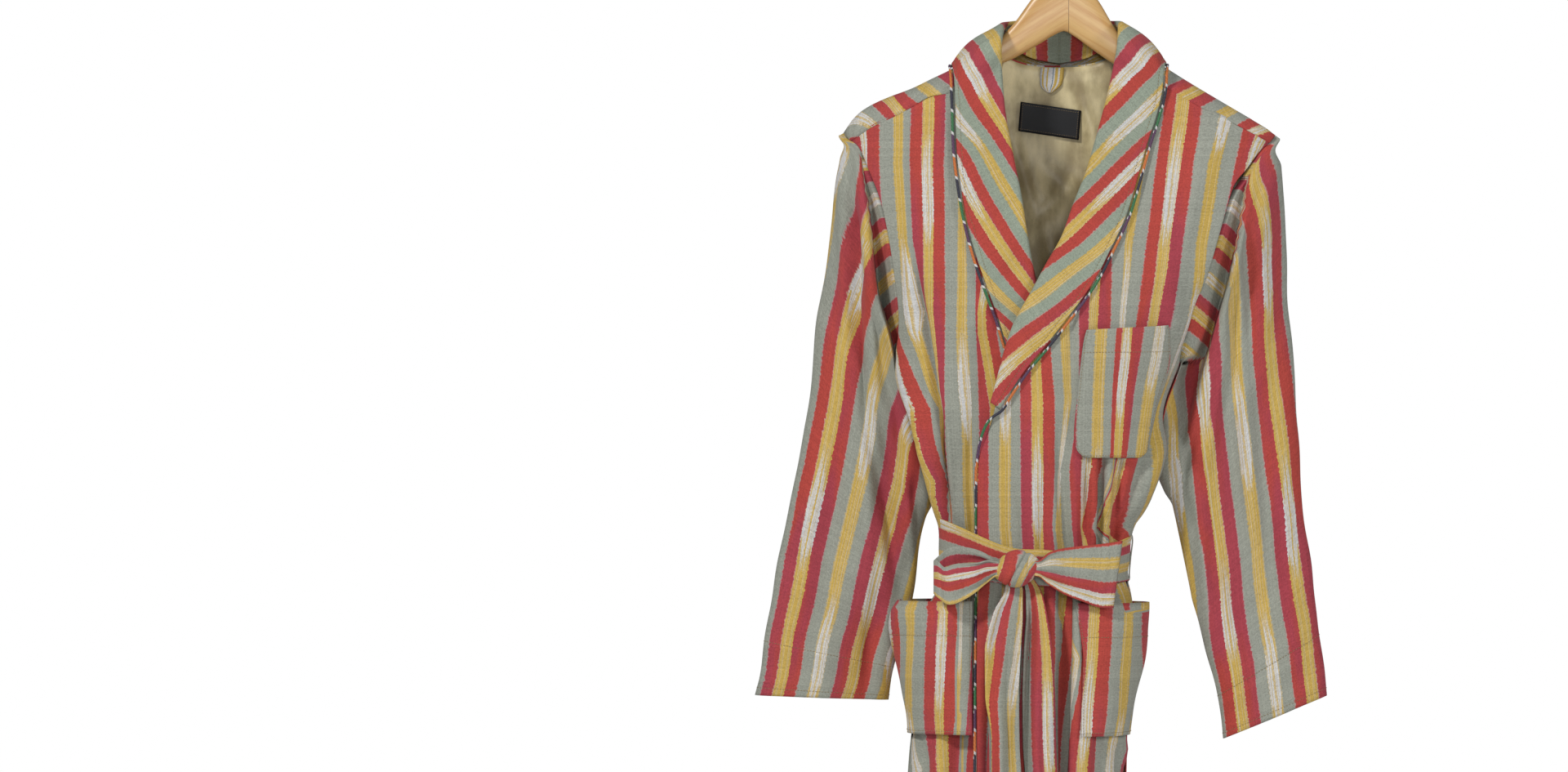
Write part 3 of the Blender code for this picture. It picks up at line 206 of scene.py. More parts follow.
# Collar. Columns: roll x, y, z, outer edge x, y, z, inner end x, y, z; y None lies on the front
COLLAR = tenths({
    -1: (
        (5, 450, -1250, 5, 560, -1960, 5, 330, -1735), (300, 420, -1255, 500, 530, -1930, 270, 305, -1690),
        (500, 300, -1280, 920, 400, -1860, 460, 220, -1590), (600, 130, -1310, 1120, 185, -1762, 620, 110, -1352),
        (620, -120, -1360, 1185, -60, -1755, 650, -110, -1410),
        (640, -330, -1580, 1160, -320, -1900, 650, -220, -1640),
        (635, None, -1800, 1145, None, -2130, 740, None, -1850),
        (605, None, -2230, 1140, None, -2400, 740, None, -2260),
        (510, None, -2770, 1125, None, -2730, 640, None, -2760),
        (420, None, -3220, 1040, None, -3350, 550, None, -3240),
        (350, None, -3670, 920, None, -3850, 460, None, -3710),
        (250, None, -4170, 780, None, -4260, 350, None, -4200), (60, None, -4600, 675, None, -4570, 200, None, -4610),
        (-160, None, -5000, 540, None, -4980, 0, None, -5010),
        (-270, None, -5260, 380, None, -5300, -120, None, -5270),
    ),
    1: (
        (5, 450, -1250, 5, 560, -1960, 5, 330, -1735), (300, 420, -1255, 500, 530, -1930, 270, 305, -1690),
        (500, 300, -1275, 920, 400, -1860, 460, 220, -1590), (640, 130, -1290, 1120, 185, -1762, 670, 110, -1335),
        (660, -120, -1320, 1175, -60, -1745, 690, -110, -1370),
        (640, -330, -1580, 1150, -320, -1860, 650, -220, -1640),
        (600, None, -1800, 1130, None, -2050, 720, None, -1850),
        (530, None, -2120, 1060, None, -2370, 660, None, -2170),
        (430, None, -2500, 970, None, -2640, 560, None, -2540),
        (300, None, -2950, 860, None, -3030, 430, None, -2980),
        (160, None, -3310, 740, None, -3430, 290, None, -3340), (30, None, -3670, 570, None, -3800, 160, None, -3710),
        (-150, None, -3990, 390, None, -4150, -20, None, -4040),
        (-315, None, -4300, 150, None, -4490, -190, None, -4360),
        (-420, None, -4480, -20, None, -4710, -300, None, -4540),
        (-510, None, -4660, -180, None, -4910, -400, None, -4730),
        (-600, None, -4930, -350, None, -5110, -510, None, -4980),
        (-670, None, -5200, -510, None, -5340, -600, None, -5240),
        (-750, None, -5500, -650, None, -5560, -700, None, -5520),
    ),
})
# Hanger outline before its tilt. Columns: half width, top z, bottom z, half depth
HANGER = tenths((
    (0, -720, -1395, 70), (120, -765, -1450, 70), (240, -890, -1530, 70), (378, -1060, -1620, 72),
    (550, -1320, -1725, 75), (725, -1520, -1810, 80), (985, -1755, -1975, 85), (1228, -1920, -2130, 100),
    (1480, -2062, -2260, 110), (1725, -2192, -2390, 125), (1985, -2325, -2520, 135), (2130, -2420, -2590, 120),
    (2190, -2480, -2575, 70),
))
# Bow loops. Columns: share out, x, z of the middle, height, y of the outer layer, y of the inner layer
BOW = tenths({
    -1: (
        (0, -655, -7315, 160, -846, -740), (700, -700, -7315, 170, -850, -736), (2000, -790, -7315, 280, -878, -728),
        (4000, -930, -7340, 420, -918, -698), (6500, -1100, -7375, 540, -918, -668),
        (8500, -1240, -7400, 610, -888, -673), (10000, -1370, -7410, 640, -778, -778),
    ),
    1: (
        (0, -272, -7315, 160, -846, -740), (700, -225, -7315, 170, -850, -736), (2000, -120, -7315, 340, -858, -733),
        (4000, 60, -7340, 500, -838, -728), (6500, 300, -7370, 620, -798, -718), (8500, 500, -7390, 710, -763, -698),
        (10000, 640, -7380, 740, -703, -703),
    ),
})
# Tails. Columns: z, left x, right x, height above the front
TAIL = tenths({
    -1: (
        (-7330, -570, -480, 68), (-7560, -600, -400, 72), (-7800, -720, -400, 90), (-8200, -815, -420, 100),
        (-8700, -810, -440, 100), (-9200, -740, -435, 100), (-9800, -740, -400, 100), (-10400, -770, -390, 100),
        (-10980, -790, -370, 100),
    ),
    1: (
        (-7330, -445, -360, 68), (-7560, -370, -200, 72), (-7800, -360, -140, 90), (-8200, -385, -80, 100),
        (-8700, -400, -50, 100), (-9200, -395, -40, 100), (-9800, -355, -10, 100), (-10600, -330, 20, 100),
        (-11280, -310, 40, 100),
    ),
})
# Stripes, by index: red, sage, gold, sage, red, gold from 0. The width of one, then where their edges lie
STRIPE = 0.0129
TOP_STRIPES = stripe_edges((
    (-2097, (0, -830), (16, 1170, 1293, 1436, 1566, 1710), (22, 1998, 2151)),
    (-2862, (0, -830), (16, 1080, 1202, 1355, 1491, 1643, 1780, 1944, 2070)),
    (-3762, (0, -850), (13, 585, 729, 807, 959, 1096, 1215, 1355, 1503, 1629, 1764)),
    (-4599, (0, -870), (11, 324, 423, 567, 662, 720, 843, 977, 1085, 1229, 1410, 1503)),
    (-5445, (0, -880), (2, -648, -531, -425, -302, -180, -49, 55, 135, 225, 290, 390, 520, 630), (17, 800, 890, 1010,
     1130)),
    (-6219, (0, -891, -774, -657, -531, -423, -297, -171, -40, 18, 30, 117, 243, 351, 486, 594), (17, 621, 720, 855,
     980)),
    (-6867, (0, -900, -774, -657, -540, -414, -297, -180, -72, -50, 45, 140, 250, 262, 360, 441), (17, 460, 549, 700,
     760)),
    (-7776, (0, -900, -774, -648, -530, -420, -300, -180, -36, 10, 72, 213, 330, 447, 585, 711, 810, 860)),
    (-8307, (0, -905, -774, -648), (4, -400, -290, -160, -36, 170, 210, 225, 297, 423, 564, 680, 790, 840)),
    (-9567, (0, -930, -810), (6, -225, -9, 60, 80, 99, 203, 320, 447, 564, 648, 729)),
    (-13500, (0, -925), (8, 80), (16, 1000)),
))
UNDER_STRIPES = stripe_edges((
    (-2862, (-7, -2178, -2115, -1980, -1827, -1719, -1642, -1506, -1377, -1253, -1110)),
    (-3735, (-6, -2061, -1931, -1764, -1658, -1606, -1490, -1377, -1253, -1110, -1019, -918)),
    (-4491, (-8, -1998), (-6, -1890, -1791, -1692, -1523, -1503, -1494, -1386, -1251, -1121, -1013, -918, -900,
     -810)),
    (-4725, (-8, -1930), (-6, -1836, -1746, -1638, -1530, -1449, -1435, -1363, -1254, -1125, -1008, -918, -909, -810,
     -702, -603)),
    (-5562, (-8, -1746, -1647, -1521, -1413, -1368, -1332, -1305, -1296, -1287, -1260, -1109, -990, -904, -774)),
    (-6372, (-8, -1494, -1386, -1323, -1269), (1, -1247, -1107, -981, -900, -800)),
    (-6822, (-8, -1368, -1305, -1260, -1242), (1, -1233, -1107, -981, -900, -780)),
    (-7776, (-6, -1850, -1814, -1697, -1593, -1443, -1326, -1220, -1116, -1105, -1062, -936, -800)),
    (-8892, (-6, -1850), (-4, -1701, -1624, -1496, -1368, -1263, -1134, -1125, -1093, -1008, -930)),
    (-9567, (-5, -1692, -1620, -1521, -1454, -1350, -1273, -1157, -1120), (4, -1068, -954)),
    (-13500, (-6, -1900), (5, -940)),
))
# The breast pocket isn't matched to the front
POCKET_STRIPES = stripe_edges((
    (-4725, (1, 225, 396, 518, 612, 675, 783, 904, 1026, 1134, 1230)),
    (-6010, (1, 189, 351, 468, 554, 585, 666, 729, 819, 936, 1026)),
))
# Distance of stripe index 4 from the sleeve's outer line. Columns: z, distance
SLEEVE_STRIPE = tenths({
    -1: (
        (-8740, 60), (-6200, 90), (-4155, 140), (-3120, 200), (-2400, 220),
    ),
    1: (
        (-8750, -30), (-6600, -20), (-5535, 20), (-4235, 78), (-2500, 78),
    ),
})
# The edge of the sleeve's front fold over the underarm. Columns: z, half width, depth behind it
ARM_FOLD = tenths({
    -1: (
        (-5800, 1600, 0), (-5300, 1780, 200), (-4800, 1900, 440), (-4240, 2034, 460), (-3750, 2085, 280),
        (-3300, 2130, 240), (-2950, 2187, 100), (-2450, 2240, 0),
    ),
    1: (
        (-6000, 1400, 0), (-5625, 1503, 140), (-4750, 1719, 320), (-3930, 1935, 290), (-3200, 2070, 140),
        (-2850, 2130, 40), (-2550, 2210, 0),
    ),
})
# Creases. Columns: x, z of the start, x, z of the end, width, height (negative goes in)
TOP_CREASES = tenths((
    (1485, -5000, 810, -6780, 100, 55), (1340, -5020, 690, -6800, 50, -45), (-513, -6460, -468, -6900, 60, -16),
    (-250, -6100, -270, -6900, 75, 20), (1647, -2680, 1287, -4000, 130, 20), (930, -2600, 880, -3600, 90, -14),
    (1150, -3300, 1240, -4600, 110, 16), (150, -4400, 120, -5600, 50, -18), (380, -6200, 370, -6900, 40, 26),
    (560, -6150, 500, -6900, 40, 24), (-700, -7800, -740, -9500, 70, 22), (360, -7900, 260, -9600, 75, 30),
    (700, -9300, 820, -10600, 80, -28), (590, -9050, 840, -9600, 70, 24), (-560, -9800, -640, -12000, 120, 30),
    (-50, -10000, -80, -13300, 140, 40), (650, -11000, 760, -13400, 150, 40), (90, -7500, -5, -10200, 60, -90),
    (-765, -8600, -790, -10600, 55, -70), (-480, -7600, -500, -10400, 60, -80), (-300, -7900, -310, -9600, 50, 26),
    (225, -7800, 180, -9000, 60, 24), (290, -6050, 310, -6900, 36, -34), (470, -6000, 435, -6900, 34, -34),
    (680, -6000, 610, -6900, 42, -38), (0, -6000, 40, -6900, 46, -24),
))
UNDER_CREASES = tenths((
    (-1791, -4780, -1458, -5920, 80, 75), (-1458, -5920, -1262, -6800, 60, 65), (-1490, -4620, -1315, -5740, 42, -70),
    (-1315, -5740, -1215, -6600, 36, -70), (-1570, -3950, -1494, -4550, 48, -34),
    (-1640, -3800, -1640, -4700, 70, 26), (-1790, -5400, -1500, -6400, 40, -34), (-1000, -4700, -1030, -6600, 90, 14),
    (-1130, -2500, -1140, -3600, 90, -12), (-1560, -2600, -1600, -3700, 90, 15),
    (-1180, -7800, -1210, -8600, 60, -14), (-1650, -8850, -1380, -9600, 65, -40),
    (-1540, -9000, -1180, -10200, 90, 34), (-1300, -10200, -1420, -13300, 130, 36),
))
BACK_CREASES = tenths((
    (-1600, -3000, -1200, -4600, 120, 26), (1650, -3200, 1150, -4800, 130, 26), (-600, -2600, -500, -4200, 160, -18),
    (500, -2500, 580, -4000, 150, -18), (-1500, -5000, -1100, -6900, 80, 60), (1120, -5000, 660, -6900, 80, 60),
    (-1300, -5600, -940, -7000, 45, -34), (940, -5600, 500, -7000, 45, -34), (-400, -6000, -380, -7000, 50, 30),
    (160, -6100, 180, -7000, 45, 28), (-1200, -7800, -1350, -10000, 110, 40), (360, -7800, 500, -10000, 100, 40),
    (-650, -8000, -850, -12000, 130, 36), (-100, -8600, -60, -13000, 140, 40),
))
# Long folds down the sleeves' fronts. Columns as for the creases above
SLEEVE_FOLDS = tenths({
    -1: (
        (-2288, -2810, -2230, -4760, 50, -70), (-2230, -4760, -2130, -5750, 65, -66),
        (-2380, -3100, -2370, -4600, 60, 30), (-2120, -3000, -2090, -4200, 50, 34),
        (-2060, -5800, -1900, -6500, 70, 36), (-1950, -6350, -1830, -7220, 80, -74),
        (-2140, -6000, -2120, -7400, 90, 44), (-2400, -5600, -2550, -7600, 110, -30),
        (-2700, -6200, -2850, -7900, 120, 26), (-2050, -7600, -2120, -8600, 90, -34),
        (-1700, -6400, -1650, -7000, 60, 40), (-2560, -7900, -2620, -8650, 100, 24),
    ),
    1: (
        (2070, -3500, 2100, -4500, 55, -40), (2240, -3300, 2260, -5000, 80, 28), (1920, -4300, 1960, -5200, 60, -40),
        (2010, -4700, 2100, -6400, 80, 36), (1800, -5000, 1660, -6000, 60, 40), (1480, -6000, 1280, -6500, 60, -40),
        (2240, -5600, 2350, -7400, 100, -30), (1700, -6400, 1840, -8000, 90, -34), (1560, -6800, 1640, -7800, 70, 30),
        (2460, -6200, 2560, -8000, 110, 26), (2060, -7800, 2180, -8900, 100, 30),
    ),
})
# Where the underarm is pressed to the body: z, by how much, over what height
TUCKS = tenths({
    -1: (-4700, 40, 300),
    1: (-5280, 120, 320),
})
# A gold stripe's middle on the cloth behind each sleeve's fold: x, z
BAND_START = tenths({
    -1: (-1977, -3723),
    1: (1842, -3783),
})
# How the cloth sags at the shoulders' points. Columns: x, z, outward, down
SHOULDER_SAG = tenths((
    (2323, -2539, 57, 29), (-2309, -2451, -66, 94),
))
# Hip pockets. Columns: reach over the front (None: up to the piping), reach over the back, z of the mouth, how far
# it stands open, share down the pocket where that ends
HIP_POCKET = {-1: (None, 0.098, -0.768, 0.034, 1.15), 1: (0.097, 0.058, -0.770, 0.016, 0.85)}
HIP_POCKET_TALL = 0.146
PIPING_EDGE_X = -0.0955  # where the hip pocket under the top front stops, at the piping
# Light measured colours, sRGB 0..255
PAINT = {
    "red": (180, 70, 61), "rose": (168, 66, 78), "sage": (154, 157, 146), "green_sage": (148, 158, 142),
    "gold": (199, 168, 86), "white": (206, 206, 205), "line": (104, 124, 140), "olive": (176, 164, 128),
    "dark_olive": (138, 127, 92), "black": (34, 37, 44), "cord_dark": (40, 40, 56), "cord_green": (58, 128, 78),
    "cord_orange": (214, 118, 50), "cord_purple": (92, 58, 92), "wood": (218, 178, 116), "wood_dark": (196, 148, 86),
    "steel": (190, 190, 192), "thread": (150, 128, 92), "floor": (244, 243, 241),
}
# What has been worked out once: slopes of tables, sections, lengths of lines, the collar's lines, the stitches
PREPARED = {}
SECTIONS = {}
LINES = {}
STATIONS = {}
STITCHES = {}


def lin(name, gain=1.0):
    """A paint as linear RGBA."""
    out = []
    for c in PAINT[name]:
        c = c / 255
        out.append(gain * (c / 12.92 if c <= 0.04045 else ((c + 0.055) / 1.055) ** 2.4))
    return (*out, 1.0)


def ease(value):
    """0..1 clamped, with soft ends."""
    value = min(1.0, max(0.0, value))
    return value * value * (3 - 2 * value)


def prepare(rows, column, key):
    """A table's places, values and slopes, for a monotone cubic through them."""
    pairs = sorted((row[key], row[column]) for row in rows)
    xs = [p[0] for p in pairs]
    ys = [p[1] for p in pairs]
    slope = [(ys[i + 1] - ys[i]) / (xs[i + 1] - xs[i]) for i in range(len(xs) - 1)]
    lean = [slope[0]]
    for a, b in zip(slope, slope[1:]):
        lean.append(0.0 if a * b <= 0 else 2 * a * b / (a + b))
    lean.append(slope[-1])
    return xs, ys, lean


def smooth(rows, at, column=1, key=0):
    """A table's column at a place in its key column: a monotone cubic, clamped at both ends."""
    name = (id(rows), column, key)
    if name not in PREPARED:
        PREPARED[name] = prepare(rows, column, key)
    xs, ys, lean = PREPARED[name]
    if at <= xs[0]:
        return ys[0]
    if at >= xs[-1]:
        return ys[-1]
    k = bisect.bisect_left(xs, at) - 1
    step = xs[k + 1] - xs[k]
    t = (at - xs[k]) / step
    return (
        ys[k] * (2 * t ** 3 - 3 * t * t + 1) + lean[k] * step * (t ** 3 - 2 * t * t + t)
        + ys[k + 1] * (3 * t * t - 2 * t ** 3) + lean[k + 1] * step * (t ** 3 - t * t)
    )


def smooth_all(rows, at, column):
    """The same for an array of places."""
    return np.array([smooth(rows, float(v), column) for v in at.ravel()]).reshape(at.shape)


def arm_top(side):
    return ARMHOLE[side][0][0]


def arm_depth(side, z):
    """Half the armhole's width at a height."""
    top = arm_top(side)
    if z >= top or z <= UNDERARM_Z:
        return 0.0
    return ARM_DEPTH * math.sin(math.pi * (top - z) / (top - UNDERARM_Z)) ** 0.7


def centre_x(z):
    return smooth(DEPTH, z, 1)


def face_depth(face, z):
    return smooth(DEPTH, z, 2 if face == "front" else 3)


def limit(side, z):
    """Half width from x = 0 where the panel ends at a height: ridge, armhole or side seam."""
    if z > arm_top(side):
        return smooth(RIDGE[side], z)
    if z > UNDERARM_Z:
        return smooth(ARMHOLE[side], z)
    return smooth(SIDE[side], z)


def half_width(side, face, z):
    """The section's half width from its own centre, wide enough to pass the armhole's edge."""
    width = limit(side, z) - side * centre_x(z)
    share = arm_depth(side, z) / face_depth(face, z)
    return width / (1 - share ** SECTION_POWER) ** (1 / SECTION_POWER)


def section(side, face, z):
    """Arc length, x and y along half a section, from its centre to where the panel ends."""
    key = (side, face, round(z, 5))
    if key not in SECTIONS:
        z = key[2]
        wide = half_width(side, face, z)
        deep = face_depth(face, z)
        end = (limit(side, z) - side * centre_x(z)) / wide
        last = math.asin(min(1.0, end) ** (SECTION_POWER / 2))
        angles = np.linspace(0, 1, 90) ** 1.2 * last
        x = centre_x(z) + side * wide * np.sin(angles) ** (2 / SECTION_POWER)
        y = deep * np.cos(angles) ** (2 / SECTION_POWER) * (-1 if face == "front" else 1)
        arc = np.concatenate([[0], np.cumsum(np.hypot(np.diff(x), np.diff(y)))])
        SECTIONS[key] = (arc, x, y)
    return SECTIONS[key]


def on_section(face, s, z):
    """The point at signed arc length s from the section's centre."""
    side = -1 if s < 0 else 1
    arc, x, y = section(side, face, z)
    return float(np.interp(abs(s), arc, x)), float(np.interp(abs(s), arc, y))


def arc_at(face, x, z):
    """The signed arc length of an x on a section."""
    side = -1 if x < centre_x(z) else 1
    arc, xs, _ = section(side, face, z)
    if side < 0:
        return -float(np.interp(-x, -xs, arc))
    return float(np.interp(x, xs, arc))


def arc_end(side, face, z):
    return side * float(section(side, face, z)[0][-1])


def depth_at(face, x, z):
    """y of the cloth at an x and z."""
    side = -1 if x < centre_x(z) else 1
    wide = half_width(side, face, z)
    share = min(1.0, abs(x - centre_x(z)) / wide)
    y = face_depth(face, z) * (1 - share ** SECTION_POWER) ** (1 / SECTION_POWER)
    return -y if face == "front" else y


def outward(face, x, z):
    """The cloth's outward normal at an x and z."""
    step = 0.002
    dx = (depth_at(face, x + step, z) - depth_at(face, x - step, z)) / (2 * step)
    dz = (depth_at(face, x, z + step) - depth_at(face, x, z - step)) / (2 * step)
    sign = -1 if face == "front" else 1
    normal = np.array([-dx, 1.0, -dz]) * sign
    return normal / np.linalg.norm(normal)


def section_normal(face, s, z):
    """The outward normal of a section, level, at an arc length."""
    a = on_section(face, s - 0.001, z)
    b = on_section(face, s + 0.001, z)
    along = np.array([b[0] - a[0], b[1] - a[1]])
    length = np.linalg.norm(along)
    if length < 1e-9:
        return np.array([math.copysign(1, s), 0.0, 0.0])
    along = along / length
    if face == "front":
        return np.array([along[1], -along[0], 0.0])
    return np.array([-along[1], along[0], 0.0])


def fold_depth(panel, x, z, edge_room):
    """How far the folds press the cloth inwards; edge_room fades them out at a seam."""
    total = 0.0
    for waist_x, hem_x, waist_w, hem_w, waist_d, hem_d, start in FOLDS[panel]:
        if z > start:
            continue
        if z > BELT_Z:
            grow = ease((start - z) / (start - BELT_Z))
            middle = waist_x
            width = waist_w * (1.7 - 0.7 * grow)
            depth = waist_d * grow
        else:
            spread = ease((BELT_Z - z) / (BELT_Z - HEM_Z) * 2.2)
            middle = waist_x + (hem_x - waist_x) * spread
            width = waist_w + (hem_w - waist_w) * spread
            depth = waist_d + (hem_d - waist_d) * spread
        total += depth * math.exp(-(((x - middle) / width) ** 2))
    return total * ease(edge_room)


def shoulder_drop(side, x, z):
    """How far a front row is lifted above level near the shoulder, so that it follows the seam."""
    fade = ease((z - (-0.42)) / 0.165)
    rows = SHOULDER_SEAM[side]
    return fade * (smooth(rows, abs(x)) - rows[-1][1])


def front_point(panel, t, row_z):
    """A point of a front and its arc length: t is 0 at the inner edge, 1 at the armhole or side seam."""
    top = panel == "top"
    side = 1 if top else -1
    edge = TOP_EDGE if top else UNDER_EDGE
    seam = arc_end(side, "front", row_z) - side * SEAM_GAP
    edge_z = row_z + shoulder_drop(side, 0.085, row_z)
    room = (0.006 if row_z > -0.56 else 0.006 * ease((row_z + 0.615) / 0.05)) if top else 0.0105
    inner = arc_at("front", smooth(edge, edge_z) + side * room, row_z)
    s = inner + (seam - inner) * t
    x, y = on_section("front", s, row_z)
    drop = shoulder_drop(side, x, row_z)
    z = row_z + drop
    if drop > 1e-6:
        y = depth_at("front", x, z)
    normal = section_normal("front", s, row_z) if drop < 1e-6 else outward("front", x, z)
    near = abs(s - seam) / 0.03
    room_in = ease(abs(s - inner) / 0.02) if top else 1.0
    inward = fold_depth(panel, x, z, near) * room_in
    if not top:
        inset, under = under_top(x, z)
        inward += under * (inset + fold_depth("top", x, z, 1.0))
    return np.array([x, y, z]) - normal * inward, s


def back_top(x):
    """The back's upper edge at an x: z of the ridge, or of the neckline between the shoulders."""
    side = -1 if x < 0 else 1
    wide = abs(x)
    neck = RIDGE[side][0][1] + 0.004
    if wide >= neck:
        rows = RIDGE[side]
        return smooth(rows, wide, 0, 1)
    return -0.176 + 0.0225 * (wide / neck) ** 3.2


def back_point(x_share, row_z):
    """A point of the back below the shoulders; x_share runs -1..1 between the seams."""
    side = -1 if x_share < 0 else 1
    end = arc_end(side, "back", row_z) - side * SEAM_GAP
    s = end * abs(x_share)
    x, y = on_section("back", s, row_z)
    normal = section_normal("back", s, row_z)
    inward = fold_depth("back", x, row_z, abs(s - end) / 0.03)
    return np.array([x, y, row_z]) - normal * inward


def back_ridge(x):
    side = -1 if x < 0 else 1
    if abs(x) < RIDGE[side][0][1]:
        return RIDGE[side][0][0]
    return smooth(RIDGE[side], abs(x), 0, 1)


def along_table(rows, share):
    """A point at a share of the length of a line given as (half width, z) rows."""
    if id(rows) not in LINES:
        lengths = [0.0]
        for a, b in zip(rows, rows[1:]):
            lengths.append(lengths[-1] + math.hypot(b[0] - a[0], b[1] - a[1]))
        LINES[id(rows)] = tuple((length, row[0], row[1]) for length, row in zip(lengths, rows))
    keyed = LINES[id(rows)]
    at = share * keyed[-1][0]
    return smooth(keyed, at, 1), smooth(keyed, at, 2)


def sleeve_point(side, down, turn):
    """A point of a sleeve: down 0..1, turn 0..1 round it from the outer line, front first."""
    ox, oz = along_table(SLEEVE_OUTER[side], down)
    ix, iz = along_table(SLEEVE_INNER[side], down)
    angle = 2 * math.pi * turn
    across = (1 - math.cos(angle)) / 2
    x = ox + (ix - ox) * across
    z = oz + (iz - oz) * across
    middle = smooth(SLEEVE_DEPTH, down, 1)
    deep = smooth(SLEEVE_DEPTH, down, 2)
    bulge = math.copysign(abs(math.sin(angle)) ** 0.8, math.sin(angle))
    y = middle - deep * bulge
    hug = 1 - ease(down / 0.06)
    if hug > 0:
        at = min(max(z, UNDERARM_Z), arm_top(side))
        seam_x = smooth(ARMHOLE[side], at) + 0.0019
        x += hug * (seam_x - x)
        ring_y = arm_depth(side, at) * (-1 if math.sin(angle) > 0 else 1)
        y += hug * (ring_y - y)
    if math.sin(angle) > 0:
        for d0, a0, length, width, depth, slant in SLEEVE_CREASES[side]:
            dd = (down - d0) / length
            da = (across - a0 - slant * (down - d0)) / width
            y += depth * math.exp(-dd * dd - da * da) * ease(down / 0.05)
    return np.array([side * x, y, z])


def under_top(x, z):
    """How far the under front lies behind the top front at a height, and 0..1 for how far it is covered at an x."""
    return UNDER_INSET - 0.004 * ease((-0.60 - z) / 0.05), ease((x - smooth(TOP_EDGE, z) + 0.050) / 0.036)


def front_inset(side, x, z):
    """How far the under front lies behind the top front's surface at a place."""
    if side > 0:
        return 0.0
    inset, under = under_top(x, z)
    return inset * under


def lapel_base(side, x, z, out):
    """A point at a height above the front panel of a side."""
    return patch_point(x, z, out - front_inset(side, x, z))


def collar_station(side, at):
    """Roll, outer edge and inner end at a place along the collar, 0 at the centre back."""
    rows = COLLAR[side]
    k = at * (len(rows) - 1)
    lines = []
    for part, out in ((0, 0.0004), (3, 0.0034), (6, -0.0047)):
        if (side, part) not in STATIONS:
            keyed = []
            for i, row in enumerate(rows):
                x = side * row[part]
                z = row[part + 2]
                if row[part + 1] is None:
                    point = lapel_base(side, x, z, out)
                else:
                    point = np.array([x, row[part + 1], z])
                keyed.append((float(i), *point))
            STATIONS[side, part] = tuple(keyed)
        keyed = STATIONS[side, part]
        lines.append(np.array([smooth(keyed, k, c) for c in (1, 2, 3)]))
    return lines


def collar_point(side, at, across):
    """A point across the collar: 0 at the inner end, the roll at 0.4, 1 at the outer edge."""
    roll, outer, inner = collar_station(side, at)
    count = len(COLLAR[side]) - 1
    fall = outer - roll
    width = np.linalg.norm(fall)
    ahead = collar_station(side, min(1.0, at + 0.01))[0] - collar_station(side, max(0.0, at - 0.01))[0]
    ahead = ahead / np.linalg.norm(ahead)
    out = np.cross(fall / width, ahead) * (-side)
    out = out / np.linalg.norm(out)
    lift = np.cross(ahead, out) * side
    if np.dot(lift, fall) > 0:
        lift = -lift
    radius = min(0.0040, width * 0.2)
    heart = roll - lift * radius * 0.2
    start = heart - lift * radius * 0.8
    if across < 0.3:
        t = across / 0.3
        return inner + (start - out * radius - inner) * t
    if across < 0.5:
        angle = math.pi * (across - 0.3) / 0.2
        return start + radius * (lift * math.sin(angle) - out * math.cos(angle))
    t = (across - 0.5) / 0.5
    place = at * count
    swell = 0.0045 * (1 - ease((place - 5) / 3)) + 0.0012
    point = start + out * radius
    point = point + (outer - point) * t + out * swell * math.sin(math.pi * t)
    return clear_of_body(side, point, ease(place - 6.0))


def clear_of_body(side, point, on_front, room=0.0027):
    """Keeps a point of the collar's fall just outside the panels."""
    x, y, z = point
    if on_front > 0.5:
        base = lapel_base(side, x, z, room)
        return np.array([x, min(y, base[1]), z])
    top = back_ridge(x)
    if z < top and y > 0:
        return np.array([x, max(y, depth_at("back", x, z) + room), z])
    if z < top and y <= 0:
        return np.array([x, min(y, depth_at("front", x, z) - room), z])
    return np.array([x, y, max(z, top + room) if abs(x) > 0.07 else z])


def piping_path(side):
    """The cord's centre line: round the collar's edge and, on the top front, down its front edge."""
    points = []
    count = round(1.6 * (len(COLLAR[side]) - 1))
    for r in range(count + 1):
        at = r / count
        edge = collar_point(side, at, 1.0)
        before = collar_point(side, at, 0.9)
        along = (edge - before) / np.linalg.norm(edge - before)
        on_front = ease(at * (len(COLLAR[side]) - 1) - 6.0)
        point = edge + along * (PIPING_RADIUS + 0.0017 + 0.0008 * (1 - on_front))
        points.append(clear_of_body(side, point, on_front, 0.0036))
    if side > 0:
        points.append(lapel_base(1, -0.0755, -0.568, 0.0042))
        points.append(lapel_base(1, -0.0835, -0.583, 0.0038))
        for z in (-0.6020, -0.625, -0.65, -0.70, -0.76, -0.86, -1.0, -1.18, HEM_Z):
            x = smooth(TOP_EDGE, z) - PIPING_RADIUS - SEAM_GAP - 0.0005
            pressed = 0.0036 * ease((-0.64 - z) / 0.03) * ease((z + 0.80) / 0.03)
            point = lapel_base(1, smooth(TOP_EDGE, z), z, 0.0008 - pressed)
            points.append(np.array([x, point[1], z]))
    return points


def patch_point(x, z, out):
    """A point above a front panel: x and z on the panel, moved out along its normal."""
    normal = outward("front", x, z)
    return np.array([x, depth_at("front", x, z), z]) + normal * out


def around(side, q, z, out):
    """A point round the side seam: q negative on the front, positive on the back."""
    face = "front" if q < 0 else "back"
    end = arc_end(side, face, z)
    s = end - side * min(abs(q), abs(end))
    x, y = on_section(face, s, z)
    normal = section_normal(face, s, z)
    if abs(q) < 0.004:
        blend = abs(q) / 0.004
        normal = normal * blend + np.array([side, 0, 0]) * (1 - blend)
        normal = normal / np.linalg.norm(normal)
    return np.array([x, y, z]) + normal * out


def tail_surface(x, z, out):
    """Above the front, without its folds."""
    return np.array([x, depth_at("front", x, z) - out, z])


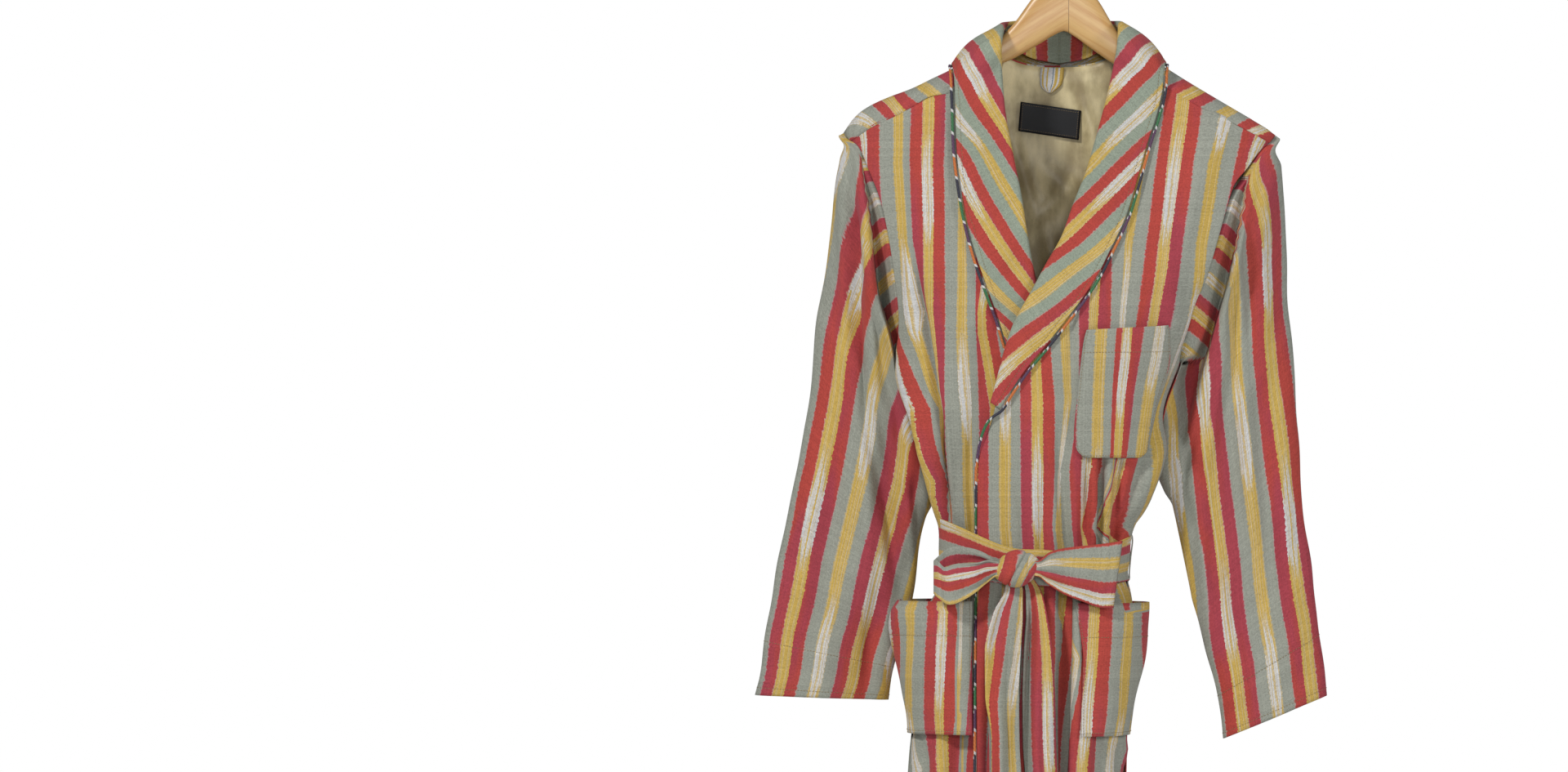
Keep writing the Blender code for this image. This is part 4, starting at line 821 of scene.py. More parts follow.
class Wire:
    """A node's output that takes + - * and / with numbers and other wires."""

    def __init__(self, graph, socket):
        self.graph = graph
        self.socket = socket

    def __add__(self, other):
        return self.graph.math("ADD", self, other)

    def __radd__(self, other):
        return self.graph.math("ADD", other, self)

    def __sub__(self, other):
        return self.graph.math("SUBTRACT", self, other)

    def __mul__(self, other):
        return self.graph.math("MULTIPLY", self, other)

    def __truediv__(self, other):
        return self.graph.math("DIVIDE", self, other)


class Graph:
    """A material's node tree, built from short calls."""

    def __init__(self, name, **settings):
        self.made = bpy.data.materials.new(name)
        self.made.use_nodes = True
        self.tree = self.made.node_tree
        self.shader = self.tree.nodes["Principled BSDF"]
        for key, value in settings.items():
            self.shader.inputs[key.replace("_", " ")].default_value = value

    def add(self, kind, **settings):
        node = self.tree.nodes.new(kind)
        for key, value in settings.items():
            setattr(node, key, value)
        return node

    def put(self, socket, value):
        if isinstance(value, Wire):
            self.tree.links.new(value.socket, socket)
        else:
            socket.default_value = value

    def fed(self, node, output, *values):
        """The node's output as a wire, with values put into its first sockets."""
        for socket, value in zip(node.inputs, values):
            self.put(socket, value)
        return Wire(self, node.outputs[output])

    def math(self, operation, *values):
        return self.fed(self.add("ShaderNodeMath", operation=operation), 0, *values)

    def floor(self, value):
        return self.math("FLOOR", value)

    def fract(self, value):
        return self.math("FRACT", value)

    def mix(self, factor, first, second):
        node = self.add("ShaderNodeMix", data_type="RGBA")
        self.put(node.inputs["Factor"], factor)
        self.put(node.inputs[6], first)
        self.put(node.inputs[7], second)
        return Wire(self, node.outputs[2])

    def ramp(self, factor, stops, easing="LINEAR"):
        node = self.add("ShaderNodeValToRGB")
        node.color_ramp.interpolation = easing
        points = node.color_ramp.elements
        while len(points) < len(stops):
            points.new(0.5)
        for point, (place, colour) in zip(points, stops):
            point.position = place
            point.color = colour
        return self.fed(node, 0, factor)

    def step(self, value, low, high):
        """0..1 as value goes from low to high."""
        return self.fed(self.add("ShaderNodeMapRange", interpolation_type="SMOOTHSTEP"), 0, value, low, high)

    def noise(self, vector, scale, detail, roughness=0.5):
        node = self.add("ShaderNodeTexNoise")
        for key, value in (("Vector", vector), ("Scale", scale), ("Detail", detail), ("Roughness", roughness)):
            self.put(node.inputs[key], value)
        return Wire(self, node.outputs["Fac"])

    def field(self, x, y, z, detail, roughness=0.5):
        """Noise at three coordinates."""
        return self.noise(self.fed(self.add("ShaderNodeCombineXYZ"), 0, x, y, z), 1.0, detail, roughness)

    def white(self, value):
        node = self.add("ShaderNodeTexWhiteNoise", noise_dimensions="1D")
        self.put(node.inputs["W"], value)
        return Wire(self, node.outputs["Value"])

    def uv(self):
        node = self.add("ShaderNodeUVMap", uv_map="cloth")
        return self.parts(Wire(self, node.outputs[0]))[:2]

    def parts(self, vector):
        """A vector's three coordinates."""
        split = self.add("ShaderNodeSeparateXYZ")
        self.put(split.inputs[0], vector)
        return [Wire(self, socket) for socket in split.outputs]

    def place(self):
        return Wire(self, self.add("ShaderNodeTexCoord").outputs["Object"])

    def paint(self, colour, light=None):
        """Makes a colour the surface's own, scaled by a light value."""
        if light is not None:
            colour = self.fed(self.add("ShaderNodeVectorMath", operation="SCALE"), 0, colour)
            self.put(colour.socket.node.inputs["Scale"], light)
        self.put(self.shader.inputs["Base Color"], colour)

    def bump(self, height, strength, distance):
        """Lays a height on the surface and returns the finished material."""
        node = self.add("ShaderNodeBump")
        for key, value in (("Strength", strength), ("Distance", distance), ("Height", height)):
            self.put(node.inputs[key], value)
        self.put(self.shader.inputs["Normal"], Wire(self, node.outputs[0]))
        return self.made


def banded(colours, soft=0.05):
    """Ramp stops for equal bands with soft edges."""
    count = len(colours)
    return [((k + share) / count, colour) for k, colour in enumerate(colours) for share in (soft, 1 - soft)]


def mask(bands, soft=0.05):
    """Ramp stops that are white in some of the repeat's six bands and black in the others."""
    return banded([(1, 1, 1, 1) if k in bands else (0, 0, 0, 1) for k in range(6)], soft)


def stripe_material(name, seed, sage="sage"):
    """Handwoven striped cotton: six stripes to the repeat, the gold ones running to white along their length."""
    g = Graph(name, Roughness=0.82, Sheen_Weight=0.06, Sheen_Roughness=0.5, Specular_IOR_Level=0.25)
    u, v = g.uv()
    paints = {key: lin(key, GAIN) for key in ("red", "rose", "gold", "white", sage)}
    weft = g.floor(v * 420.0)
    thread = g.floor(u * 30.0)
    # the shot between neighbouring stripes
    jag = g.field(u * 3.0, v * 330.0, seed, 1.0)
    pull = g.field(u * 0.6, v * 22.0, seed + 4.0, 2.0)
    wavy = u + ((jag - 0.5) * 0.26 + (pull - 0.5) * 0.16)
    repeat = g.fract((wavy + 600.0) / 6.0)
    drift = g.field(u * 0.35, v * 5.0, seed + 9.0, 3.0)
    red_now = g.mix(g.step(drift, 0.40, 0.62), paints["red"], paints["rose"])
    base = g.ramp(repeat, banded([paints[key] for key in ("white", sage, "gold", sage, "white", "gold")]))
    red_mask = g.ramp(repeat, mask((0, 4)))
    gold_mask = g.ramp(repeat, mask((2, 5), 0.03))
    colour = g.mix(red_mask, base, red_now)
    # the white lengths, with long feathered tips
    inside = g.math("ABSOLUTE", g.fract(wavy + 600.0) - 0.5)
    luck = g.white(g.floor(wavy) + (seed + 0.37))
    own = g.white(thread + (seed + 31.7))
    phase = g.fract(v * 3.9 + luck * 7.0)
    tip = inside * 0.42 + own * 0.17
    start = g.step(phase - tip, 0.27, 0.34)
    finish = g.step(phase + tip * 0.55, 0.92, 0.88)
    # a gold line stays down the middle
    line = g.step(inside, 0.055, 0.085)
    kept = g.math("LESS_THAN", own, 0.78) * (0.25 + line * 0.75)
    fleck = g.math("GREATER_THAN", own, 0.86) * 0.40
    pale = g.math("MAXIMUM", start * finish * kept, fleck) * gold_mask
    colour = g.mix(pale, colour, paints["white"])
    # heathered threads and rubbed places
    fibre = g.field(u * 13.0, v * 900.0, seed, 2.0, 0.7)
    heather = g.field(u * 5.5, v * 560.0, seed + 6.0, 2.0, 0.6)
    fibre = fibre * 0.5 + heather * 0.5
    warp = g.white(g.floor(u * 26.0) + (seed + 3.3))
    across = g.white(weft + (seed + 77.0))
    worn = g.field(u * 0.12, v * 9.0, seed + 2.0, 3.0)
    tone = (fibre - 0.5) * 1.50 + (warp - 0.5) * 0.10 + (across - 0.5) * 0.10 + (worn - 0.5) * 0.16
    g.paint(colour, tone + 1.0)
    # the ribs of the weave
    ribs = g.math("ABSOLUTE", g.fract(v * 800.0) - 0.5)
    ends = g.math("ABSOLUTE", g.fract(u * 15.0) - 0.5)
    return g.bump(ribs * 1.2 + ends * 0.6 + fibre, 0.35, 0.0004)


def satin_material(name):
    """Olive lining satin, creased, with painted shade in the creases' hollows and painted light on their crowns."""
    g = Graph(name, Roughness=0.42, Sheen_Weight=0.1)
    u, v = g.uv()
    creases_and_shade = g.field(u * 30.0, v * 14.0, 1.0, 4.0)
    fine = g.field(u * 1400.0, v * 500.0, 5.0, 1.0)
    # painted shade and light: dark olive in the hollows of the bump's creases, light olive on their crowns; both
    # paints are taken above their own colour, painted light that brightens the lining in the shaded neck
    colour = g.mix(g.step(creases_and_shade, 0.36, 0.66), lin("dark_olive", 1.45), lin("olive", 1.85))
    # a faint dark red tint in the deepest of the same hollows
    colour = g.mix(g.step(creases_and_shade, 0.55, 0.40) * 0.10, colour, lin("red", 0.45))
    g.paint(colour, 0.92 + fine * 0.16)
    return g.bump(creases_and_shade + fine * 0.08, 0.5, 0.003)


def cord_material(name):
    """Twisted piping cord: four colours in turn, parted by slanted white ticks."""
    g = Graph(name, Roughness=0.6, Sheen_Weight=0.1)
    u, v = g.uv()
    turn = v + u * 0.0062
    colours = [lin("cord_dark"), lin("cord_green", 0.7), lin("cord_purple", 0.8), lin("cord_orange", 0.8)]
    colour = g.ramp(g.fract(turn / 0.1000), banded(colours, 0.02))
    tick = g.math("LESS_THAN", g.fract(turn / 0.0250), 0.13)
    colour = g.mix(tick, colour, lin("white", 0.92))
    # the plies' twist: painted shade darkens the grooves between the plies and lightens their crowns, along with the
    # bump
    plies_and_shade = g.math("SINE", v * 1500.0 + u * 12.566)
    g.paint(colour, 0.90 + plies_and_shade * 0.10)
    return g.bump(plies_and_shade, 0.5, 0.0003)


def label_material(name):
    """Woven black label, plain."""
    g = Graph(name, Roughness=0.55)
    u, v = g.uv()
    fine = g.field(u * 900.0, v * 900.0, 2.0, 2.0)
    g.paint(g.mix(fine, lin("black", 0.25), lin("black", 0.55)))
    return g.bump(g.math("SINE", v * 9000.0) + fine, 0.3, 0.0002)


def tab_material(name):
    """The hanging tab's own narrow stripes: gold and white by turns, one blue-grey line."""
    g = Graph(name, Roughness=0.8)
    u, v = g.uv()
    fray = g.field(u * 9.0, v * 900.0, 3.0, 2.0)
    order = ((0.0, "gold"), (0.17, "white"), (0.25, "gold"), (0.37, "white"), (0.43, "line"), (0.47, "white"),
             (0.66, "gold"), (0.72, "white"), (0.84, "gold"), (0.91, "white"))
    colour = g.ramp(u + (fray - 0.5) * 0.05, [(place, lin(key)) for place, key in order], "CONSTANT")
    g.paint(colour, 0.70 + fray * 0.60)
    return g.bump(fray, 0.4, 0.0004)


def thread_material(name):
    """Twisted sewing thread."""
    g = Graph(name, Roughness=0.6)
    twist = g.noise(g.place(), 1800.0, 1.0)
    g.paint(g.mix(twist, lin("thread", 0.75), lin("thread", 1.05)))
    return g.bump(twist, 0.3, 0.0001)


def wood_material(name):
    """Waxed beech in two halves that meet in a mitre at the crest."""
    g = Graph(name, Roughness=0.38, Coat_Weight=0.12, Coat_Roughness=0.25)
    x, y, z = g.parts(g.place())
    along = g.math("ABSOLUTE", x)
    fall = z + along * 0.62
    half = g.math("GREATER_THAN", x, 0.002)
    rings = g.field(along * 9.0, y * 90.0, fall * 160.0 + half * 17.0, 4.0, 0.6)
    pores = g.field(along * 120.0, y * 900.0, fall * 1400.0, 2.0)
    colour = g.mix(g.step(rings, 0.35, 0.68), lin("wood", 0.84), lin("wood_dark", 0.88))
    colour = g.mix(g.step(pores, 0.62, 0.72) * 0.35, colour, lin("wood_dark", 0.55))
    joint = g.math("LESS_THAN", g.math("ABSOLUTE", x - 0.002), 0.0004)
    g.paint(g.mix(joint * 0.8, colour, lin("wood_dark", 0.3)))
    return g.bump(rings + pores * 0.4, 0.15, 0.0006)


def steel_material(name):
    """Drawn steel wire, a little rubbed."""
    g = Graph(name, Metallic=1.0)
    rub = g.noise(g.place(), 260.0, 3.0)
    g.paint(g.mix(rub, lin("steel", 0.8), lin("steel", 1.1)))
    g.put(g.shader.inputs["Roughness"], 0.20 + rub * 0.2)
    return g.bump(rub, 0.05, 0.0002)


def floor_material(name):
    g = Graph(name, Roughness=0.9)
    g.paint(g.mix(g.noise(g.place(), 3.0, 2.0), lin("floor", 0.97), lin("floor")))
    return g.made


def finer(grid, rows, columns):
    """A grid of points with rows and columns added between: Catmull-Rom both ways."""
    out = np.asarray(grid, float)
    for count in (rows, columns):
        if count > 1:
            before = 2 * out[:1] - out[1:2]
            after = 2 * out[-1:] - out[-2:-1]
            p = np.concatenate([before, out, after])
            steps = []
            for k in range(count):
                t = k / count
                a, b, c, d = p[:-3], p[1:-2], p[2:-1], p[3:]
                steps.append(0.5 * (2 * b + (c - a) * t + (2 * a - 5 * b + 4 * c - d) * t * t
                                    + (3 * b - a - 3 * c + d) * t ** 3))
            made = np.stack(steps, axis=1).reshape((-1, *out.shape[1:]))
            out = np.concatenate([made, out[-1:]])
        out = np.swapaxes(out, 0, 1)
    return out


def normals(grid):
    """Unit normals of a grid of points."""
    n = np.cross(np.gradient(grid, axis=1), np.gradient(grid, axis=0))
    n /= np.maximum(np.linalg.norm(n, axis=2, keepdims=True), 1e-12)
    return n


def facing(grid, row, column, way=-1):
    """A grid's normals, turned so that the one at a row and column looks to -Y, or to +Y."""
    out = normals(grid)
    return -out if out[row, column, 1] * way < 0 else out


def flat_normals(grid):
    """Normals that all look to -Y."""
    out = np.zeros(grid.shape)
    out[..., 1] = -1
    return out


def nearest(values, value):
    """The place in an array of the value nearest to one."""
    return int(np.argmin(np.abs(values - value)))


def creased(grid, out, table, amount=1.0):
    """Moves a grid along its normals by a table of creases."""
    x = grid[..., 0]
    z = grid[..., 2]
    total = np.zeros(x.shape)
    for x0, z0, x1, z1, width, height in table:
        dx, dz = x1 - x0, z1 - z0
        size = math.hypot(dx, dz)
        t = ((x - x0) * dx + (z - z0) * dz) / size ** 2
        off = ((x - x0) * dz - (z - z0) * dx) / size
        inside = np.clip(t, 0, 1)
        beyond = np.abs(t - inside) * size
        fade = np.exp(-((beyond / (0.16 * size + 0.010)) ** 2))
        swell = 0.35 + 0.65 * np.sin(math.pi * np.clip(0.12 + 0.76 * inside, 0, 1))
        total += height * fade * swell * np.exp(-((off / width) ** 2))
    return grid + out * (total * amount)[..., None]


def ripples(grid, out, seed, size, fade):
    """Low uneven waves, from a fixed list of directions."""
    rng = np.random.default_rng(seed)
    x = grid[..., 0]
    z = grid[..., 2]
    total = np.zeros(x.shape)
    for _ in range(9):
        pitch = rng.uniform(0.030, 0.095)
        angle = rng.uniform(-0.5, 0.5)
        shift = rng.uniform(0, 6.28)
        wave = np.sin((x * math.cos(angle) + z * math.sin(angle)) * 6.28 / pitch + shift)
        envelope = np.sin(z * 6.28 / rng.uniform(0.12, 0.4) + rng.uniform(0, 6.28))
        total += wave * envelope * pitch
    total *= size / 0.08
    total *= fade
    return grid + out * total[..., None]


def stripe_lines(face, table):
    """A table of stripe edges as arc lengths at every whole index, one row for each height."""
    lines = []
    low = min(pair[0] for row in table for pair in row[1:])
    high = max(pair[0] for row in table for pair in row[1:])
    index = np.arange(low, high + 1)
    for row in table:
        z = row[0]
        pairs = sorted(row[1:])
        places = np.array([p[0] for p in pairs], float)
        arcs = []
        for _, x in pairs:
            side = -1 if x < centre_x(z) else 1
            end = abs(section(side, face, z)[1][-1])
            extra = max(0.0, abs(x) - end)
            arcs.append(arc_at(face, x, z) + side * extra)
        arcs = np.array(arcs)
        at = np.interp(index, places, arcs)
        at = np.where(index > places[-1], arcs[-1] + (index - places[-1]) * STRIPE, at)
        at = np.where(index < places[0], arcs[0] + (index - places[0]) * STRIPE, at)
        lines.append((z, at))
    lines.sort(key=lambda line: line[0])
    return index, np.array([line[0] for line in lines]), np.array([line[1] for line in lines])


def stripe_index(lines, s, z):
    """The stripe index at arc lengths s and heights z."""
    index, heights, arcs = lines
    flat_s = s.ravel()
    flat_z = np.clip(z.ravel(), heights[0], heights[-1])
    k = np.clip(np.searchsorted(heights, flat_z) - 1, 0, len(heights) - 2)
    t = (flat_z - heights[k]) / (heights[k + 1] - heights[k])
    edges = arcs[k] * (1 - t[:, None]) + arcs[k + 1] * t[:, None]
    n = np.clip((edges <= flat_s[:, None]).sum(axis=1) - 1, 0, len(index) - 2)
    row = np.arange(len(flat_s))
    low = edges[row, n]
    high = edges[row, n + 1]
    out = index[n] + (flat_s - low) / np.maximum(high - low, 1e-5)
    out = np.where(flat_s < edges[:, 0], index[0] + (flat_s - edges[:, 0]) / STRIPE, out)
    out = np.where(flat_s > edges[:, -1], index[-1] + (flat_s - edges[:, -1]) / STRIPE, out)
    return out.reshape(s.shape)


def dropped(points):
    """The shoulders' points as the cloth sags there, on every piece that meets in them."""
    points = np.array(points, float)
    for x, z, out, down in SHOULDER_SAG:
        near = np.exp(-((points[..., 0] - x) ** 2 + (points[..., 2] - z) ** 2) / 0.016 ** 2)
        points[..., 0] += out * near
        points[..., 2] -= down * near
    return points


def linked(name, data):
    """An object in the scene."""
    ob = bpy.data.objects.new(name, data)
    bpy.context.scene.collection.objects.link(ob)
    return ob


def make_piece(name, points, faces, uvs, made, nodes=(), shift=True):
    """A mesh object with a UV layer called cloth, riding on the root body."""
    points = np.asarray(points, float)
    if shift:
        points = dropped(points) + np.array([HANG_X, 0, 0])
    mesh = bpy.data.meshes.new(name)
    mesh.from_pydata(points.tolist(), [], faces)
    layer = mesh.uv_layers.new(name="cloth")
    flat = np.array([uv for face in uvs for uv in face], np.float32)
    layer.data.foreach_set("uv", flat.ravel())
    mesh.polygons.foreach_set("use_smooth", [True] * len(mesh.polygons))
    mesh.update()
    ob = linked(name, mesh)
    mesh.materials.append(made)
    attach(ob, "root")
    if nodes:
        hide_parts(*nodes)
    return ob


def quads(rows, columns, uv, wrap=False):
    """Faces and their uv for points that stand row by row. A wrapped grid needs one uv column more."""
    faces = []
    uvs = []
    for r in range(rows - 1):
        for c in range(columns if wrap else columns - 1):
            n = (c + 1) % columns
            faces.append((r * columns + c, r * columns + n, (r + 1) * columns + n, (r + 1) * columns + c))
            uvs.append((uv[r, c], uv[r, c + 1], uv[r + 1, c + 1], uv[r + 1, c]))
    return faces, uvs


def wall(ob, thickness):
    """Gives a sheet its thickness."""
    solid = ob.modifiers.new("Cloth wall", "SOLIDIFY")
    solid.thickness = thickness
    solid.offset = 0
    return ob


def cloth(name, grid, u, v, made, node, thickness=CLOTH_WALL, wrap=False):
    """A sheet of cloth through a grid, in place of a node."""
    grid = np.asarray(grid, float)
    rows, columns = grid.shape[:2]
    faces, uvs = quads(rows, columns, np.stack([u, v], axis=2), wrap)
    return wall(make_piece(name, grid.reshape(-1, 3), faces, uvs, made, [node]), thickness)


def run_lengths(points):
    points = np.asarray(points, float)
    return np.concatenate([[0], np.cumsum(np.linalg.norm(np.diff(points, axis=0), axis=1))])


def resample(points, pitch):
    """Points at an even pitch along a line, smoothed."""
    points = finer(np.asarray(points, float)[:, None, :].repeat(2, axis=1), 6, 1)[:, 0]
    run = run_lengths(points)
    count = max(2, int(round(run[-1] / pitch)))
    at = np.linspace(0, run[-1], count + 1)
    return np.stack([np.interp(at, run, points[:, k]) for k in range(3)], axis=1)


def tube_piece(name, points, radius, made, node, ring, shift=True):
    """A round cord along a line, with domed ends."""
    points = np.asarray(points, float)
    run = run_lengths(points)
    ahead = np.gradient(points, axis=0)
    ahead /= np.linalg.norm(ahead, axis=1, keepdims=True)
    side = np.cross(ahead[0], [0, 1, 0.01])
    verts = []
    for p, d in zip(points, ahead):
        side = side - d * np.dot(side, d)
        side /= np.linalg.norm(side)
        other = np.cross(d, side)
        for c in range(ring):
            a = 2 * math.pi * c / ring
            verts.append(p + radius * (side * math.cos(a) + other * math.sin(a)))
    uv = np.stack(np.meshgrid(np.arange(ring + 1) / ring, run), axis=2)
    faces, uvs = quads(len(points), ring, uv, wrap=True)
    for k, way in ((0, -1), (len(points) - 1, 1)):
        tip = len(verts)
        verts.append(points[k] + ahead[k] * way * radius * 0.6)
        for c in range(ring):
            face = (k * ring + c, k * ring + (c + 1) % ring, tip)
            faces.append(face if way > 0 else tuple(reversed(face)))
            uvs.append(((0, run[k]),) * 3)
    return make_piece(name, verts, faces, uvs, made, [node], shift)


def stitch(group, points, outs, pitch=0.0034, length=0.0022, radius=0.00024):
    """Dashes of thread along a line on the cloth, lifted along outs."""
    points = dropped(points)
    outs = np.asarray(outs, float)
    run = run_lengths(points)
    verts, faces = STITCHES.setdefault(group, ([], []))
    place = 0.5 * pitch
    while place + length < run[-1]:
        ends = []
        for at in (place, place + length):
            p = np.array([np.interp(at, run, points[:, k]) for k in range(3)])
            n = np.array([np.interp(at, run, outs[:, k]) for k in range(3)])
            n /= np.linalg.norm(n)
            ends.append((p, n))
        along = ends[1][0] - ends[0][0]
        size = np.linalg.norm(along)
        if size > 1e-6:
            along /= size
            first = len(verts)
            for share, lift, wide in ((0.0, -0.5, 0.5), (0.2, 0.6, 1.0), (0.8, 0.6, 1.0), (1.0, -0.5, 0.5)):
                p = ends[0][0] * (1 - share) + ends[1][0] * share
                n = ends[0][1] * (1 - share) + ends[1][1] * share
                beside = np.cross(along, n)
                beside /= np.linalg.norm(beside)
                heart = p + n * radius * lift
                for a in range(6):
                    turn = math.pi * a / 3
                    ring = beside * math.cos(turn) + n * math.sin(turn)
                    verts.append(heart + radius * wide * ring)
            for k in range(3):
                for a in range(6):
                    b = (a + 1) % 6
                    i = first + k * 6
                    faces.append((i + a, i + b, i + 6 + b, i + 6 + a))
            faces.append(tuple(first + a for a in reversed(range(6))))
            faces.append(tuple(first + 18 + a for a in range(6)))
        place += pitch


def finish_stitches(made):
    """The stitches as pieces, one for each group, by name."""
    return {
        group: make_piece(group, verts, faces, [[(0.0, 0.0)] * len(face) for face in faces], made)
        for group, (verts, faces) in STITCHES.items()
    }


def line_on(grid, out, row=None, column=None, lift=0.0008):
    """A row or column of a grid as a line lifted off the cloth, with its normals."""
    pick = (row, slice(None)) if row is not None else (slice(None), column)
    return grid[pick] + out[pick] * lift, out[pick]


def build_front(panel, node, made):
    top = panel == "top"
    side = 1 if top else -1
    first = SHOULDER_SEAM[side][-1][1] - 2 * SEAM_GAP
    rows = 72
    heights = np.concatenate([
        np.linspace(first, UNDERARM_Z, rows * 3 // 8, endpoint=False),
        np.linspace(UNDERARM_Z, SKIRT_Z, rows * 3 // 8, endpoint=False),
        np.linspace(SKIRT_Z, HEM_Z, rows // 4 + 1),
    ])
    columns = 56
    made_rows = [[front_point(panel, c / columns, float(z)) for c in range(columns + 1)] for z in heights]
    step = 3
    grid = finer(np.array([[point for point, _ in row] for row in made_rows]), step, 2)
    arcs = finer(np.array([[[arc] for _, arc in row] for row in made_rows]), step, 2)[..., 0]
    out = facing(grid, len(grid) // 2, columns)
    moved = creased(grid, out, TOP_CREASES if top else UNDER_CREASES, 1.8)
    seam_room = np.clip(np.abs(arcs - arcs[:, -1:]) / 0.02, 0, 1)
    moved = ripples(moved, out, 11 if top else 23, 0.00045, seam_room)
    # a doubled, stitched hem at the foot
    z = moved[..., 2]
    moved = moved - out * (0.0006 * np.exp(-(((z - HEM_STITCH_Z) / 0.0016) ** 2)))[..., None]
    moved[..., 2] = np.maximum(moved[..., 2], HEM_Z)
    lines = stripe_lines("front", TOP_STRIPES if top else UNDER_STRIPES)
    index = stripe_index(lines, arcs, moved[..., 2])
    cloth("robe_" + node, moved, index, -moved[..., 2], made, node)
    stitch("hem_stitches", *line_on(moved, out, row=nearest(moved[:, columns, 2], HEM_STITCH_Z)))


def build_back(made):
    shares = np.linspace(-1, 1, (72) + 1)
    first = -0.262
    base = [back_point(float(q), first) for q in shares]
    lift = np.linspace(0, 1, 13)
    upper = []
    for share in lift:
        row = []
        for q, low in zip(shares, base):
            side = -1 if q < 0 else 1
            reach = RIDGE[side][-1][1] + 0.0008
            x = math.copysign(reach * abs(q), q) * share + low[0] * (1 - share)
            top = back_top(math.copysign(min(abs(x), reach), x))
            z = low[2] + (top - low[2]) * share
            y = depth_at("back", x, min(z, back_ridge(x)))
            row.append(np.array([x, y, z]))
        upper.append(row)
    upper.reverse()
    rows = 60
    heights = np.concatenate([
        np.linspace(first, UNDERARM_Z, rows // 3, endpoint=False)[1:],
        np.linspace(UNDERARM_Z, SKIRT_Z, rows // 3, endpoint=False), np.linspace(SKIRT_Z, HEM_Z, rows // 3 + 1),
    ])
    grid = np.array(upper + [[back_point(float(q), float(z)) for q in shares] for z in heights])
    grid = finer(grid, 3, 2)
    out = facing(grid, len(grid) // 2, len(grid[0]) // 2, way=1)
    calm = np.clip((-0.23 - grid[..., 2]) / 0.05, 0, 1)
    centre = grid.shape[1] // 2
    moved = creased(grid, out, BACK_CREASES)
    moved = grid + (moved - grid) * calm[..., None]
    moved = ripples(moved, out, 31, 0.0006, calm)
    base_row = grid[np.argmin(np.abs(grid[:, centre, 2] - first))]
    run = run_lengths(base_row)
    run -= run[centre]
    order_x = base_row[:, 0]
    x = grid[..., 0]
    z = grid[..., 2]
    arc = np.zeros(x.shape)
    for r in range(len(grid)):
        if grid[r, centre, 2] > first:
            arc[r] = np.interp(x[r], order_x, run) + np.maximum(x[r] - order_x[-1], 0)
            arc[r] -= np.maximum(order_x[0] - x[r], 0)
        else:
            own = run_lengths(grid[r])
            arc[r] = own - own[centre]
    index = back_index(arc, np.clip((z + 0.34) / 0.12, 0, 1))
    uv = np.stack([index, -z], axis=2)
    # the panel's upper edge wraps over the shoulders to the forward seams
    blocks = []
    for side in (-1, 1):
        cols = [c for c in range(grid.shape[1])
                if x[0, c] * side > 0 and abs(x[0, c]) >= RIDGE[side][0][1] + 0.0045]
        block = []
        marks = []
        for share in np.linspace(1, 0, 9):
            row = []
            urow = []
            for c in cols:
                px, _, top = moved[0, c]
                seam_x = side * min(abs(px), SHOULDER_SEAM[side][-1][0])
                seam = min(smooth(SHOULDER_SEAM[side], abs(seam_x)) - 0.0010, top - 0.002)
                at_x = px + (seam_x - px) * share
                at_z = top + (seam - top) * share ** 1.5
                if share == 0:
                    row.append(moved[0, c])
                else:
                    row.append(np.array([at_x, depth_at("front", at_x, at_z) - 0.0006, at_z]))
                lean = (back_ridge(px + 0.003) - back_ridge(px - 0.003)) / 0.006
                along = np.array([1.0, lean]) / math.hypot(1.0, lean)
                off = np.array([at_x - px, at_z - top])
                far = 2 * along * np.dot(off, along) - off
                way = px + far[0]
                mark = np.interp(way, order_x, run) + max(way - order_x[-1], 0) - max(order_x[0] - way, 0)
                urow.append((float(back_index(np.array(mark), 1.0)), -(top + far[1])))
            block.append(row)
            marks.append(urow)
        blocks.append((cols, block, marks))
    points = [p for row in moved for p in row]
    faces, uvs = quads(*grid.shape[:2], uv)
    for cols, block, marks in blocks:
        base = {}
        for r, row in enumerate(block):
            for k, p in enumerate(row):
                if r == len(block) - 1:
                    base[r, k] = cols[k]
                else:
                    base[r, k] = len(points)
                    points.append(p)
        for r in range(len(block) - 1):
            for k in range(len(cols) - 1):
                faces.append((base[r, k], base[r, k + 1], base[r + 1, k + 1], base[r + 1, k]))
                uvs.append((marks[r][k], marks[r][k + 1], marks[r + 1][k + 1], marks[r + 1][k]))
    wall(make_piece("robe_back", points, faces, uvs, made, ["back"]), CLOTH_WALL)
    stitch("hem_stitches", *line_on(moved, out, row=nearest(moved[:, centre, 2], HEM_STITCH_Z)))


def back_index(arc, at_ridge):
    """Stripe index across the back; at the ridge the cloth is eased in round the neck."""
    wide = 0.9 + arc * 69.0
    far = np.abs(arc)
    eased = 0.9 + np.sign(arc) * np.where(far < 0.07, far * 53.0, 3.71 + (far - 0.07) * 80.0)
    return wide * (1 - at_ridge) + eased * at_ridge


